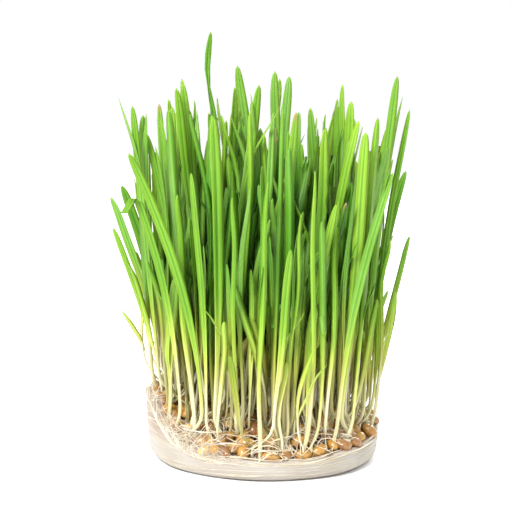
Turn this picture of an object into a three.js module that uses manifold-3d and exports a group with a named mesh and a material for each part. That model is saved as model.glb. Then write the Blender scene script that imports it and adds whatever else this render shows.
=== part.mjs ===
// A pad of wheat grass, lifted whole out of the round tub it was grown in.
// The roots have matted into a low white dish that keeps the tub's shape. Swollen wheat grains
// lie on it in touching handfuls, and the shoots grow out of them.
// Millimetres, +Z up, +X to the right, the front towards -Y, origin at the centre of the underside.

import * as THREE from 'three';
import { mergeVertices } from 'three/addons/utils/BufferGeometryUtils.js';
import Module from 'manifold-3d';

const wasm = await Module();
wasm.setup();

const GAP = 0.4;
const TURN = Math.PI * 2;
const DEGREE = Math.PI / 180;

// The root mat: a tapering tub shape with a rounded lower edge and a torn rim.
const UNDERSIDE_RADIUS = 43;
const WALL_RADIUS = 48.6;
const WALL_FLARE = 0.085;
const WALL_WAVE = 0.4;
const WALL_RIPPLE = 0.32;
const EDGE_ROUND = 6;
const RIM_WIDTH = 1.2;
const RIM_DROP = 0.4;
const MAT_SIDES = 48;

// How high the matted roots reach round the tub: low in front, high at the left.
const RIM_FRONT = 8.5;
const RIM_PEAKS = [
  { at: 185, spread: 32, rise: 17.5 },
  { at: 80, spread: 80, rise: 13 },
];
const RIM_WAVE = 0.6;
const RIM_RIPPLE = 0.3;

// The bed under the grains: level in the middle, falling to the rim at the edge.
const BED_HEIGHT = 21;
const BED_LEVEL_TO = 25;
const BED_BELOW_RIM = 1;

// A swollen, sprouted wheat grain, and how two or three lie touching in a handful.
const GRAIN_LENGTH = 7.6;
const GRAIN_WIDTH = 4.5;
const GRAIN_DEPTH = 4;
const GRAIN_TILT = 0.25;
const GRAIN_SIDES = 6;
const GRAIN_BANDS = 3;
const GRAIN_CLOSENESS = 0.8;
const GRAIN_OVERLAP = 0.68;
const GRAIN_STIR = 2.5;
const GRAIN_NUDGE = 0.1;
const HANDFUL_LEAST = 2;
const THIRD_GRAIN_SHARE = 0.45;

// The front handfuls start at grains that show: across, depth, and degrees swung round.
const FRONT_GRAINS = [
  { x: -22.8, y: -20.4, swing: 100 },
  { x: -25.4, y: -33, swing: 5 },
  { x: 6.2, y: -22, swing: 30 },
  { x: 7.7, y: -34.6, swing: 80 },
  { x: 18.5, y: -32.6, swing: 35 },
  { x: 31.2, y: -17.5, swing: 50 },
  { x: 32.9, y: -27.1, swing: 110 },
  { x: 45.8, y: -2.7, swing: 0 },
  { x: -46.5, y: -3.6, swing: 0 },
  { x: -45.8, y: 8, swing: 0 },
  { x: -34.7, y: -28.3, swing: 10 },
  { x: -5.1, y: -28.1, swing: 70 },
  { x: -10.9, y: -40.5, swing: 5 },
  { x: 25.5, y: -37.5, swing: 0 },
  { x: 40.5, y: -17, swing: 0 },
];
// The other handfuls start at places spread evenly on a spiral.
const SPIRAL_PLACES = 46;
const SPIRAL_RADIUS = 46.5;
const GOLDEN_TURN = 2.399963;

// A shoot: a slim white stem that opens into a flat blade, by share of its length.
const SHOOT_STATIONS = [0, 0.26, 0.58, 0.9];
const SHOOT_WIDTHS = [0.44, 0.5, 1, 0.72];
const SHOOT_DEPTHS = [1.6, 1.4, 0.75, 0.65];
const LEAF_STATIONS = [0, 0.4, 0.85];
const LEAF_WIDTHS = [0.3, 0.95, 0.8];
const LEAF_DEPTHS = [0.7, 0.7, 0.65];
const GERM_REACH = 0.7;
const STEM_SPACING = 2.6;
const STEM_ROOM = 1.25;
const SHOOTS_IN_HANDFUL = 5;
const LEAN_AT_FOOT = 0.3;
const TRIES = 90;

// Blades are held apart by comparing them at level slices, where they come near each other.
const SLICE = 5;
const SLICES = 38;
const NEAR = 12;
const SHARE_OF_DEPTHS = 0.67;

// Shoots that stand out in the grass: foot and tip across, tip height, blade width, and row.
// Each row is a range of depths. Tips are given as they line up, at the middle's depth, from a
// point well in front of the grass.
const SIGHT_X = -4.3;
const SIGHT_AWAY = 670;
const SIGHT_HEIGHT = 165;
const ROWS = { front: [-44, -14], middle: [-18, 18], back: [6, 40] };
const MARK_STIR = 3;
const MARK_TIP_STIR = 8;
const MARK_TURN = 0.6;
const MARKED_SHOOTS = [
  { foot: -46, tip: [-59, 150], width: 3.2, row: 'middle' },
  { foot: -25, tip: [-60, 130], width: 4.2, row: 'front' },
  { foot: -35, tip: [-62, 127], width: 3.6, row: 'front' },
  { foot: -47, tip: [-62.5, 116], width: 4.3, row: 'middle' },
  { foot: -48, tip: [-68, 111], width: 3.8, row: 'middle' },
  { foot: -47, tip: [-66, 98], width: 2.6, row: 'middle' },
  { foot: -36, tip: [-46.5, 145], width: 3.4, row: 'middle' },
  { foot: -38, tip: [-40, 150], width: 4.2, row: 'middle' },
  { foot: -17, tip: [-41.5, 158], width: 3.8, row: 'front' },
  { foot: -31, tip: [-38, 162], width: 3.4, row: 'back' },
  { foot: -27, tip: [-36, 160], width: 4.2, row: 'middle' },
  { foot: -27, tip: [-26.5, 147], width: 4.6, row: 'front' },
  { foot: -19, tip: [-23.5, 182], width: 3.4, row: 'middle' },
  { foot: -22, tip: [-23.4, 146], width: 4.6, row: 'front' },
  { foot: -13, tip: [-16.5, 166], width: 2.8, row: 'back' },
  { foot: -15, tip: [-17, 159], width: 4.2, row: 'middle' },
  { foot: -10, tip: [-12, 168], width: 4.4, row: 'middle' },
  { foot: -13, tip: [-3.5, 160], width: 4.2, row: 'front' },
  { foot: 0, tip: [1, 163], width: 3.2, row: 'back' },
  { foot: 2.6, tip: [4.8, 166], width: 4.2, row: 'middle' },
  { foot: 5.6, tip: [7.5, 164], width: 4.4, row: 'back' },
  { foot: 11, tip: [13.5, 149], width: 4.8, row: 'front' },
  { foot: 26, tip: [18, 151], width: 3.8, row: 'middle' },
  { foot: 30, tip: [27, 155], width: 3.4, row: 'back' },
  { foot: 31, tip: [33.8, 161], width: 2.6, row: 'middle' },
  { foot: 36, tip: [41, 141], width: 4.6, row: 'front' },
  { foot: 41, tip: [49, 152], width: 3, row: 'back' },
  { foot: 46, tip: [55, 165], width: 3.8, row: 'middle' },
  { foot: 47, tip: [59, 151], width: 2.8, row: 'middle' },
  { foot: 47, tip: [59, 125], width: 4, row: 'middle' },
  { foot: 42, tip: [53, 124], width: 3.8, row: 'front' },
  { foot: 47, tip: [62, 97], width: 2.4, row: 'middle' },
  { foot: 48, tip: [57.5, 73], width: 2.8, row: 'middle' },
  { foot: 36, tip: [47, 107], width: 3.4, row: 'front' },
  { foot: 3, tip: [21, 90], width: 3.6, row: 'front' },
  { foot: 18, tip: [34, 94], width: 2.8, row: 'front' },
  { foot: 14, tip: [27, 89], width: 4.2, row: 'front' },
  { foot: -9, tip: [10.5, 125], width: 3.2, row: 'front' },
  { foot: -20, tip: [-33, 109], width: 3.2, row: 'front' },
  { foot: -37, tip: [-38.5, 77], width: 4.4, row: 'front' },
];

// The rest are drawn: tip heights, blade widths, and how they lean, bow and turn. No tip of
// theirs stands farther from the middle than TIP_SPREAD.
const TIP_LOW = 98;
const TIP_HIGH = 156;
const TALL_BIAS = 0.7;
const SHORT_SHARE = 0.12;
const SHORT_WIDTH = 0.75;
const SHORT_TIP_LOW = 52;
const SHORT_TIP_HIGH = 92;
const BLADE_NARROW = 3;
const BLADE_BROAD = 4.7;
const FLARE = 0.24;
const WANDER = 24;
const TIP_SPREAD = 54;
const BOW = 2.5;
const EDGE_BOW = 0.5;
const EDGE_REACH = 1.1;
const TWIST = 45 * DEGREE;
// A younger leaf leaves some of the stems part of the way up.
const LEAF_SHARE = 0.36;
const LEAF_FROM = [0.26, 0.4];
const LEAF_REACH = 15;
const LEAF_LENGTH = [0.6, 1.05];
const LEAF_BREADTH = [0.62, 0.9];

// A small linear congruential draw, so that the same grass grows each time.
let seed = 20260;
function draw(low = 0, high = 1) {
  seed = (seed * 1664525 + 1013904223) % 4294967296;
  return low + ((high - low) * seed) / 4294967296;
}

function ease(share) {
  const t = Math.min(1, Math.max(0, share));
  return t * t * (3 - 2 * t);
}

// Height of the torn rim of the mat at an angle in radians.
function rimHeight(angle) {
  let height = RIM_FRONT;
  for (const peak of RIM_PEAKS) {
    const away = ((angle / DEGREE - peak.at + 540) % 360) - 180;
    height += peak.rise * Math.exp(-((away / peak.spread) ** 2));
  }
  return height + RIM_WAVE * Math.sin(7 * angle + 1) + RIM_RIPPLE * Math.sin(13 * angle);
}

function wallRadius(angle, height) {
  const wave = WALL_WAVE * Math.sin(3 * angle + 0.7) + WALL_RIPPLE * Math.sin(8 * angle + 2);
  return WALL_RADIUS + WALL_FLARE * height + wave;
}

// Radius of the bed inside the rim.
function bedEdge(angle) {
  return wallRadius(angle, rimHeight(angle)) - RIM_WIDTH - RIM_DROP;
}

// Top of the matted roots, where the grains lie.
function bedHeight(radius, angle) {
  const fall = ease((radius - BED_LEVEL_TO) / (bedEdge(angle) - BED_LEVEL_TO));
  const edge = rimHeight(angle) - BED_BELOW_RIM;
  return BED_HEIGHT + (edge - BED_HEIGHT) * fall;
}

function polar(radius, angle, height) {
  return new THREE.Vector3(radius * Math.cos(angle), radius * Math.sin(angle), height);
}

function geometryOf(points, triangles) {
  const geometry = new THREE.BufferGeometry();
  const places = points.flatMap((point) => [point.x, point.y, point.z]);
  geometry.setAttribute('position', new THREE.Float32BufferAttribute(places, 3));
  geometry.setIndex(triangles);
  return geometry;
}

// Closes a stack of rings, each a list of points, into one skin. Rings of one point are poles.
function skin(rings) {
  const points = rings.flat();
  const triangles = [];
  let start = 0;
  for (let i = 0; i + 1 < rings.length; i++) {
    const lower = rings[i].length;
    const upper = rings[i + 1].length;
    const count = Math.max(lower, upper);
    for (let k = 0; k < count; k++) {
      const next = (k + 1) % count;
      const a = start + (lower > 1 ? k : 0);
      const b = start + (lower > 1 ? next : 0);
      const c = start + lower + (upper > 1 ? k : 0);
      const d = start + lower + (upper > 1 ? next : 0);
      if (lower > 1) triangles.push(a, b, d);
      if (upper > 1) triangles.push(a, d, c);
    }
    start += lower;
  }
  return geometryOf(points, triangles);
}

function solid(geometry) {
  geometry.deleteAttribute('normal');
  geometry.deleteAttribute('uv');
  const merged = mergeVertices(geometry, 1e-4);
  return new wasm.Manifold(new wasm.Mesh({
    numProp: 3,
    vertProperties: merged.getAttribute('position').array,
    triVerts: new Uint32Array(merged.getIndex().array),
  }));
}

function meshOf(name, body, material) {
  const { vertProperties, triVerts } = body.getMesh();
  const geometry = new THREE.BufferGeometry();
  geometry.setAttribute('position', new THREE.BufferAttribute(vertProperties, 3));
  geometry.setIndex(new THREE.BufferAttribute(triVerts, 1));
  geometry.computeVertexNormals();
  const mesh = new THREE.Mesh(geometry, material);
  mesh.name = name;
  return mesh;
}

// The root mat: underside, rounded edge, wall, rim, and the bed that the grains lie on.
function rootMat() {
  const angles = Array.from({ length: MAT_SIDES }, (_, k) => (k * TURN) / MAT_SIDES);
  const ring = (place) => angles.map((angle) => polar(...place(angle)));
  const edge = (share) => (angle) => {
    const out = Math.sin((share * Math.PI) / 2);
    const up = 1 - Math.cos((share * Math.PI) / 2);
    const wall = wallRadius(angle, EDGE_ROUND);
    return [UNDERSIDE_RADIUS + (wall - UNDERSIDE_RADIUS) * out, angle, EDGE_ROUND * up];
  };
  const wall = (share) => (angle) => {
    const height = EDGE_ROUND + (rimHeight(angle) - EDGE_ROUND) * share;
    return [wallRadius(angle, height), angle, height];
  };
  const floor = (share) => (angle) => {
    const radius = BED_LEVEL_TO + (bedEdge(angle) - BED_LEVEL_TO) * share;
    return [radius, angle, bedHeight(radius, angle)];
  };
  const lip = (angle) => {
    const height = rimHeight(angle);
    return [wallRadius(angle, height) - RIM_WIDTH, angle, height - RIM_DROP];
  };
  return skin([
    [polar(0, 0, 0)],
    ring((angle) => [UNDERSIDE_RADIUS, angle, 0]),
    ring(edge(0.5)),
    ring(edge(1)),
    ring(wall(0.5)),
    ring(wall(1)),
    ring(lip),
    ring(floor(1)),
    ring(floor(0.7)),
    ring(floor(0.35)),
    ring(floor(0)),
    [polar(0, 0, BED_HEIGHT)],
  ]);
}

// A grain lying on the bed at a place: its axes, its half sizes and its centre.
function layGrain(x, y, swing, tilt) {
  const radius = Math.hypot(x, y);
  const angle = Math.atan2(y, x);
  const here = polar(radius, angle, bedHeight(radius, angle));
  const out = polar(radius + 1, angle, bedHeight(radius + 1, angle)).sub(here).normalize();
  const round = polar(radius, angle + 0.02, bedHeight(radius, angle + 0.02)).sub(here).normalize();
  const up = out.clone().cross(round).normalize();
  const along = round.clone().applyAxisAngle(up, swing);
  const across = up.clone().cross(along);
  along.applyAxisAngle(across, tilt);
  const axes = [across, along, across.clone().cross(along)];
  const half = [GRAIN_WIDTH / 2, GRAIN_LENGTH / 2, GRAIN_DEPTH / 2];
  const grain = { axes, half };
  grain.centre = here.addScaledVector(up, grainSupport(grain, up) + GAP);
  return grain;
}

// How far a grain's skin lies from its centre in a direction.
function grainReach(grain, direction) {
  return 1 / Math.hypot(...grain.axes.map((axis, k) => axis.dot(direction) / grain.half[k]));
}

// How far a level plane facing a direction must stand off to clear a grain.
function grainSupport(grain, direction) {
  return Math.hypot(...grain.axes.map((axis, k) => axis.dot(direction) * grain.half[k]));
}

function grainsClear(a, b) {
  const apart = b.centre.clone().sub(a.centre);
  const distance = apart.length();
  apart.divideScalar(distance);
  return distance > grainSupport(a, apart) + grainSupport(b, apart) + GAP;
}

function grainOnBed(grain) {
  const radius = Math.hypot(grain.centre.x, grain.centre.y);
  const outward = new THREE.Vector3(grain.centre.x, grain.centre.y, 0).normalize();
  return radius + grainSupport(grain, outward) < bedEdge(Math.atan2(outward.y, outward.x)) - GAP;
}

// Distance between two grains as a share of where their skins would just meet.
function grainCloseness(a, b) {
  const apart = b.centre.clone().sub(a.centre);
  const distance = apart.length();
  apart.divideScalar(distance);
  return distance / (grainReach(a, apart) + grainReach(b, apart));
}

// A grain pushed up against another on a chosen side, or null where it doesn't fit.
function grainBeside(first, handful, others) {
  const heading = draw(0, TURN);
  const swing = draw(0, TURN);
  const tilt = draw(-GRAIN_TILT, GRAIN_TILT);
  for (let away = GRAIN_LENGTH; away > GRAIN_WIDTH / 2; away -= GRAIN_NUDGE) {
    const x = first.centre.x + away * Math.cos(heading);
    const y = first.centre.y + away * Math.sin(heading);
    if (Math.hypot(x, y) > bedEdge(Math.atan2(y, x))) continue;
    const grain = layGrain(x, y, swing, tilt);
    if (grainCloseness(first, grain) > GRAIN_CLOSENESS) continue;
    const clear = others.every((other) => grainsClear(grain, other));
    const apart = handful.every((other) => other === first || grainCloseness(grain, other) > GRAIN_OVERLAP);
    return clear && apart && grainOnBed(grain) ? grain : null;
  }
  return null;
}

// A handful of two or three touching grains, started at a place on the bed.
function layHandful(place, others) {
  const first = layGrain(place.x, place.y, place.swing * DEGREE, 0);
  if (!grainOnBed(first) || !others.every((other) => grainsClear(first, other))) return [];
  const handful = [first];
  const most = HANDFUL_LEAST + (draw() < THIRD_GRAIN_SHARE ? 1 : 0);
  for (let k = 0; k < TRIES && handful.length < most; k++) {
    const next = grainBeside(handful[Math.floor(draw(0, handful.length))], handful, others);
    if (next) handful.push(next);
  }
  return handful;
}

function grainSolid(grain) {
  const shape = new THREE.SphereGeometry(1, GRAIN_SIDES, GRAIN_BANDS);
  const matrix = new THREE.Matrix4().makeBasis(...grain.axes);
  matrix.scale(new THREE.Vector3(...grain.half));
  matrix.setPosition(grain.centre);
  return solid(shape.applyMatrix4(matrix));
}

// A blade's section at a share of its length: edges left and right, and the keel behind.
function bladeSection(blade, share, width, depth) {
  const lean = LEAN_AT_FOOT * share + (1 - LEAN_AT_FOOT) * share * share;
  const bend = Math.sin(Math.PI * share);
  const x = blade.foot.x + blade.drift.x * lean + blade.bow.x * bend;
  const y = blade.foot.y + blade.drift.y * lean + blade.bow.y * bend;
  const z = blade.foot.z + (blade.tip - blade.foot.z) * share;
  const turn = blade.facing + blade.twist * share;
  const side = new THREE.Vector3(Math.cos(turn), Math.sin(turn), 0);
  const back = new THREE.Vector3(-side.y, side.x, 0);
  const middle = new THREE.Vector3(x, y, z);
  const half = (width * blade.width) / 2;
  return {
    left: middle.clone().addScaledVector(side, -half).addScaledVector(back, -depth / 3),
    right: middle.clone().addScaledVector(side, half).addScaledVector(back, -depth / 3),
    keel: middle.clone().addScaledVector(back, (2 * depth) / 3),
    depth,
  };
}

function bladeSections(blade) {
  const { stations, widths, depths } = blade;
  const sections = stations.map((share, k) => bladeSection(blade, share, widths[k], depths[k]));
  sections.push(bladeSection(blade, 1, 0, 0));
  return sections;
}

function bladeGeometry(blade) {
  const rings = blade.sections.slice(0, -1).map((s) => [s.left, s.right, s.keel]);
  const foot = rings[0].map((point) => point.clone());
  const tip = blade.sections[blade.sections.length - 1].keel;
  const geometry = skin([foot, ...rings.slice(1), [tip]]);
  geometry.setIndex([...geometry.getIndex().array, 0, 2, 1]);
  return geometry;
}

// Cuts a blade at level slices, to see whether it stands clear of the others.
function sliceBlade(blade) {
  blade.sections = bladeSections(blade);
  blade.slices = [];
  for (let k = 0; k < SLICES; k++) {
    const height = k * SLICE;
    const above = blade.sections.findIndex((section) => section.left.z > height);
    if (above < 1) {
      blade.slices.push(null);
      continue;
    }
    const a = blade.sections[above - 1];
    const b = blade.sections[above];
    const share = (height - a.left.z) / (b.left.z - a.left.z);
    blade.slices.push({
      left: a.left.clone().lerp(b.left, share),
      right: a.right.clone().lerp(b.right, share),
      depth: a.depth + (b.depth - a.depth) * share,
    });
  }
  return blade;
}

function pointToSpan(point, from, to) {
  const spanX = to.x - from.x;
  const spanY = to.y - from.y;
  const length = spanX * spanX + spanY * spanY;
  const raw = length > 0 ? ((point.x - from.x) * spanX + (point.y - from.y) * spanY) / length : 0;
  const share = Math.min(1, Math.max(0, raw));
  return Math.hypot(point.x - from.x - share * spanX, point.y - from.y - share * spanY);
}

function side(a, b, c) {
  return (b.x - a.x) * (c.y - a.y) - (b.y - a.y) * (c.x - a.x);
}

function spanDistance(a, b) {
  const split = side(a.left, a.right, b.left) * side(a.left, a.right, b.right) < 0;
  if (split && side(b.left, b.right, a.left) * side(b.left, b.right, a.right) < 0) return 0;
  return Math.min(
    pointToSpan(a.left, b.left, b.right),
    pointToSpan(a.right, b.left, b.right),
    pointToSpan(b.left, a.left, a.right),
    pointToSpan(b.right, a.left, a.right),
  );
}

function bladesClear(a, b) {
  for (let k = 0; k < SLICES; k++) {
    const one = a.slices[k];
    const two = b.slices[k];
    if (!one || !two) continue;
    if (Math.abs(one.left.x - two.left.x) > NEAR || Math.abs(one.left.y - two.left.y) > NEAR) continue;
    if (spanDistance(one, two) < (one.depth + two.depth) * SHARE_OF_DEPTHS + GAP) return false;
  }
  return true;
}

// Whether a stem at a foot stands clear of the grains, seen from above.
function footClear(foot, grains, room) {
  return grains.every((grain) => {
    const along = grain.axes[1];
    const flat = Math.hypot(along.x, along.y);
    const dx = foot.x - grain.centre.x;
    const dy = foot.y - grain.centre.y;
    const far = (dx * along.x + dy * along.y) / flat / (grain.half[1] * flat + room);
    const near = (-dx * along.y + dy * along.x) / flat / (grain.half[0] + room);
    return far * far + near * near > 1;
  });
}

// A shoot from a foot to a tip. At the rim the shoots bow outwards.
function shootAt(foot, tipX, tipY, tip, width) {
  const radius = Math.hypot(foot.x, foot.y);
  const outward = (EDGE_BOW * (radius / SPIRAL_RADIUS) ** 6) / radius;
  return {
    foot,
    drift: new THREE.Vector2(tipX - foot.x, tipY - foot.y),
    bow: new THREE.Vector2(foot.x * outward + draw(-BOW, BOW), foot.y * outward + draw(-BOW, BOW)),
    facing: draw(0, TURN),
    twist: draw(-TWIST, TWIST),
    tip,
    width,
    stations: SHOOT_STATIONS,
    widths: SHOOT_WIDTHS,
    depths: SHOOT_DEPTHS,
  };
}

// Where a shoot breaks out of a grain: along it, and at the rim on its outer flank.
function germ(grain, share) {
  const foot = grain.centre.clone().addScaledVector(grain.axes[1], share * grain.half[1]);
  const radius = Math.hypot(foot.x, foot.y);
  const reach = (EDGE_REACH * (radius / SPIRAL_RADIUS) ** 6) / radius;
  return foot.add(new THREE.Vector3(foot.x * reach, foot.y * reach, 0));
}

function standsClear(shoot, handful, grass) {
  const others = grass.grains.filter((grain) => !handful.grains.includes(grain));
  const near = grass.grown.some((other) => !other.parent && shoot.foot.distanceTo(other.foot) < STEM_SPACING);
  if (near || !footClear(shoot.foot, others, STEM_ROOM)) return false;
  sliceBlade(shoot);
  return grass.grown.every((other) => bladesClear(shoot, other));
}

function plant(shoot, handful, grass) {
  handful.blades.push(shoot);
  grass.grown.push(shoot);
  return shoot;
}

// A marked shoot grows from the nearest grain to its foot, and is tried at depths in its row.
function growMarked(mark, grass) {
  const places = grass.handfuls.flatMap((handful) =>
    handful.grains.flatMap((grain) => [-0.5, 0.5].map((end) => ({ handful, foot: germ(grain, end) }))));
  for (let k = 0; k < TRIES; k++) {
    const x = mark.foot + draw(-MARK_STIR, MARK_STIR);
    const y = draw(...ROWS[mark.row]);
    const far = (place) => Math.hypot(place.foot.x - x, place.foot.y - y);
    const place = places.reduce((best, other) => (far(other) < far(best) ? other : best));
    const tipY = place.foot.y * (1 + FLARE) + draw(-MARK_TIP_STIR, MARK_TIP_STIR);
    const nearer = (SIGHT_AWAY + tipY) / SIGHT_AWAY;
    const tipX = SIGHT_X + (mark.tip[0] - SIGHT_X) * nearer;
    const tip = SIGHT_HEIGHT + (mark.tip[1] - SIGHT_HEIGHT) * nearer;
    const shoot = shootAt(place.foot, tipX, tipY, tip, mark.width);
    shoot.facing = draw(-MARK_TURN, MARK_TURN);
    shoot.twist *= MARK_TURN;
    if (standsClear(shoot, place.handful, grass)) return plant(shoot, place.handful, grass);
  }
  return null;
}

// A shoot drawn on any grain of a handful, again and again until it stands clear.
function growDrawn(handful, grass) {
  for (let k = 0; k < TRIES; k++) {
    const grain = handful.grains[Math.floor(draw(0, handful.grains.length))];
    const foot = germ(grain, draw(-GERM_REACH, GERM_REACH));
    const short = draw() < SHORT_SHARE;
    const tall = TIP_LOW + (TIP_HIGH - TIP_LOW) * draw() ** TALL_BIAS;
    const tip = short ? draw(SHORT_TIP_LOW, SHORT_TIP_HIGH) : tall;
    const wander = (WANDER * tip) / TIP_HIGH;
    const tipX = foot.x * (1 + FLARE) + draw(-1, 1) * draw() * wander;
    const tipY = foot.y * (1 + FLARE) + draw(-1, 1) * draw() * wander;
    const width = draw(BLADE_NARROW, BLADE_BROAD) * (short ? SHORT_WIDTH : 1);
    const held = Math.min(1, TIP_SPREAD / Math.hypot(tipX, tipY));
    const shoot = shootAt(foot, tipX * held, tipY * held, tip, width);
    if (standsClear(shoot, handful, grass)) return plant(shoot, handful, grass);
  }
  return null;
}

// A younger leaf that leaves its shoot's stem part of the way up.
function growSecondLeaf(shoot, handful, grass) {
  for (let k = 0; k < TRIES; k++) {
    const start = bladeSection(shoot, draw(...LEAF_FROM), 0, 0).keel;
    const leaf = {
      parent: shoot,
      foot: start,
      drift: new THREE.Vector2(draw(-LEAF_REACH, LEAF_REACH), draw(-LEAF_REACH, LEAF_REACH)),
      bow: new THREE.Vector2(draw(-BOW, BOW) / 2, draw(-BOW, BOW) / 2),
      facing: draw(0, TURN),
      twist: draw(-TWIST, TWIST) / 2,
      tip: start.z + (shoot.tip - start.z) * draw(...LEAF_LENGTH),
      width: shoot.width * draw(...LEAF_BREADTH),
      stations: LEAF_STATIONS,
      widths: LEAF_WIDTHS,
      depths: LEAF_DEPTHS,
    };
    sliceBlade(leaf);
    const clear = grass.grown.every((other) => other === shoot || bladesClear(leaf, other));
    if (clear) return plant(leaf, handful, grass);
  }
  return null;
}

// The places where handfuls start: the grains that show in front, then the spiral.
function handfulPlaces() {
  const spiral = Array.from({ length: SPIRAL_PLACES }, (_, k) => {
    const radius = SPIRAL_RADIUS * Math.sqrt((k + 0.5) / SPIRAL_PLACES);
    const angle = k * GOLDEN_TURN;
    const outer = radius > SPIRAL_RADIUS - GRAIN_LENGTH / 2;
    return { x: radius * Math.cos(angle), y: radius * Math.sin(angle), swing: outer ? 0 : draw(0, 360) };
  });
  return [...FRONT_GRAINS, ...spiral];
}

// Lays each handful that fits, stirred a little round its place until it does.
function layGrains(grass) {
  for (const place of handfulPlaces()) {
    for (let k = 0; k < TRIES; k++) {
      const stir = k ? GRAIN_STIR : 0;
      const near = { ...place, x: place.x + draw(-stir, stir), y: place.y + draw(-stir, stir) };
      const grains = layHandful(near, grass.grains);
      if (!grains.length) continue;
      grass.handfuls.push({ grains, blades: [] });
      grass.grains.push(...grains);
      break;
    }
  }
}

function growGrass() {
  const grass = { handfuls: [], grains: [], grown: [] };
  layGrains(grass);
  for (const mark of MARKED_SHOOTS) growMarked(mark, grass);
  for (const handful of grass.handfuls) {
    for (let k = handful.blades.length; k < SHOOTS_IN_HANDFUL; k++) growDrawn(handful, grass);
  }
  for (const handful of grass.handfuls) {
    for (const shoot of [...handful.blades]) {
      if (draw() < LEAF_SHARE) growSecondLeaf(shoot, handful, grass);
    }
  }
  return grass;
}

const rootMaterial = new THREE.MeshStandardMaterial({ color: 0xe6ded0, roughness: 0.9, metalness: 0 });
const shootMaterial = new THREE.MeshStandardMaterial({ color: 0x6fae33, roughness: 0.5, metalness: 0 });

const wheatgrass = new THREE.Group();
wheatgrass.add(meshOf('root_mat', solid(rootMat()), rootMaterial));

growGrass().handfuls.forEach((handful, k) => {
  const grains = handful.grains.map((grain) => grainSolid(grain));
  const blades = handful.blades.map((blade) => solid(bladeGeometry(blade)));
  wheatgrass.add(meshOf(`seedlings_${k + 1}`, wasm.Manifold.union([...grains, ...blades]), shootMaterial));
});

export default wheatgrass;
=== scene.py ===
"""A pad of young wheat grass that stands on its own felted roots, as it lifts out of the round
tub that it grew in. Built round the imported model, in metres, +Z up, the front towards -Y."""

import math
import random

import bmesh
import bpy
import numpy as np
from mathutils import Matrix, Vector, noise


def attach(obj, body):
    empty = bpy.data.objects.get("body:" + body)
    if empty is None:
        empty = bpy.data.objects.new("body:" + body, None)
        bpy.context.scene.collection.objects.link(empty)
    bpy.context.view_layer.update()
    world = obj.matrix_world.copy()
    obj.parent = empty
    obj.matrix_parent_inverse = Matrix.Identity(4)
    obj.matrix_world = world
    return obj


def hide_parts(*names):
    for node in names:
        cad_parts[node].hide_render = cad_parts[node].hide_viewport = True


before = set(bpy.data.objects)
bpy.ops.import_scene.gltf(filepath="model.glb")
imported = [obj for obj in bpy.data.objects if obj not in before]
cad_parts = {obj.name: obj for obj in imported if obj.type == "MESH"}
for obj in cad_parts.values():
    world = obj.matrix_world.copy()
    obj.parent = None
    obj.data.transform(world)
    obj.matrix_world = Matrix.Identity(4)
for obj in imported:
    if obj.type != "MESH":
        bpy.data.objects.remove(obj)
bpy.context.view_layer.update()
MM = 0.001
TURN = math.tau
DEGREE = math.pi / 180


# The root mat: roots that circled in the tub until they felted into one low dish, which keeps
# the tub's taper and rounded edge. It is moist, matt and cream, and ends above in a torn rim,
# where the wall is thin enough to look rosy and to show the grains behind it.
UNDERSIDE_RADIUS = 43
WALL_RADIUS = 48.6
WALL_FLARE = 0.085
WALL_WAVE = 0.4
WALL_RIPPLE = 0.32
EDGE_ROUND = 6
RIM_WIDTH = 1.2
RIM_DROP = 0.4
RIM_FRONT = 8.5
RIM_PEAKS = [(185, 32, 17.5), (80, 80, 13)]
RIM_WAVE = 0.6
RIM_RIPPLE = 0.3
BED_HEIGHT = 21
BED_LEVEL_TO = 25
BED_BELOW_RIM = 1
MAT_SIDES = 220
MAT_RINGS = 56
UNDERSIDE_SHARE = 0.1
EDGE_SHARE = 0.24
WALL_SHARE = 0.5
RIM_SHARE = 0.56
FELT_RELIEF = 0.16
FELT_LUMPS = (9, 0.9)
BED_RELIEF = 0.7
BED_LUMPS = 2.2
BED_FADE = 0.03
RIM_TEAR = 1.1
RIM_TEARS = 9
RIM_TEAR_FADE = 0.02
RIM_ROLL = 1.5
RIM_ROLL_AT = 0.02
RIM_ROLL_WIDTH = 0.05
FELT_CREAM = "aea79f"
FELT_GREY = "a8a198"
FELT_STAIN = "e6ded2"
FELT_STAIN_MM = 22.2
FELT_STREAK_MM = 0.5
FELT_STREAK_LENGTH = 14
FELT_STREAKS = 0.09
BED_BROWN = "6b4a2d"
BED_PALE = "aa906f"
BED_LITTER_MM = 2
SHEER_FROM = 9
SHEER_RISE = 9
SHEER_ROSE = "e9d6c9"
GRAIN_BEHIND = "a07558"
GRAINS_APART_MM = 8.5


def ease(share):
    t = np.clip(share, 0, 1)
    return t * t * (3 - 2 * t)


def rim_height(angle):
    height = RIM_FRONT + RIM_WAVE * np.sin(7 * angle + 1) + RIM_RIPPLE * np.sin(13 * angle)
    for at, spread, rise in RIM_PEAKS:
        away = (angle / DEGREE - at + 540) % 360 - 180
        height = height + rise * np.exp(-((away / spread) ** 2))
    return height


def wall_radius(angle, height):
    wave = WALL_WAVE * np.sin(3 * angle + 0.7) + WALL_RIPPLE * np.sin(8 * angle + 2)
    return WALL_RADIUS + WALL_FLARE * height + wave


def bed_edge(angle):
    return wall_radius(angle, rim_height(angle)) - RIM_WIDTH - RIM_DROP


def bed_height(radius, angle):
    fall = ease((radius - BED_LEVEL_TO) / (bed_edge(angle) - BED_LEVEL_TO))
    return BED_HEIGHT + (rim_height(angle) - BED_BELOW_RIM - BED_HEIGHT) * fall


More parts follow.
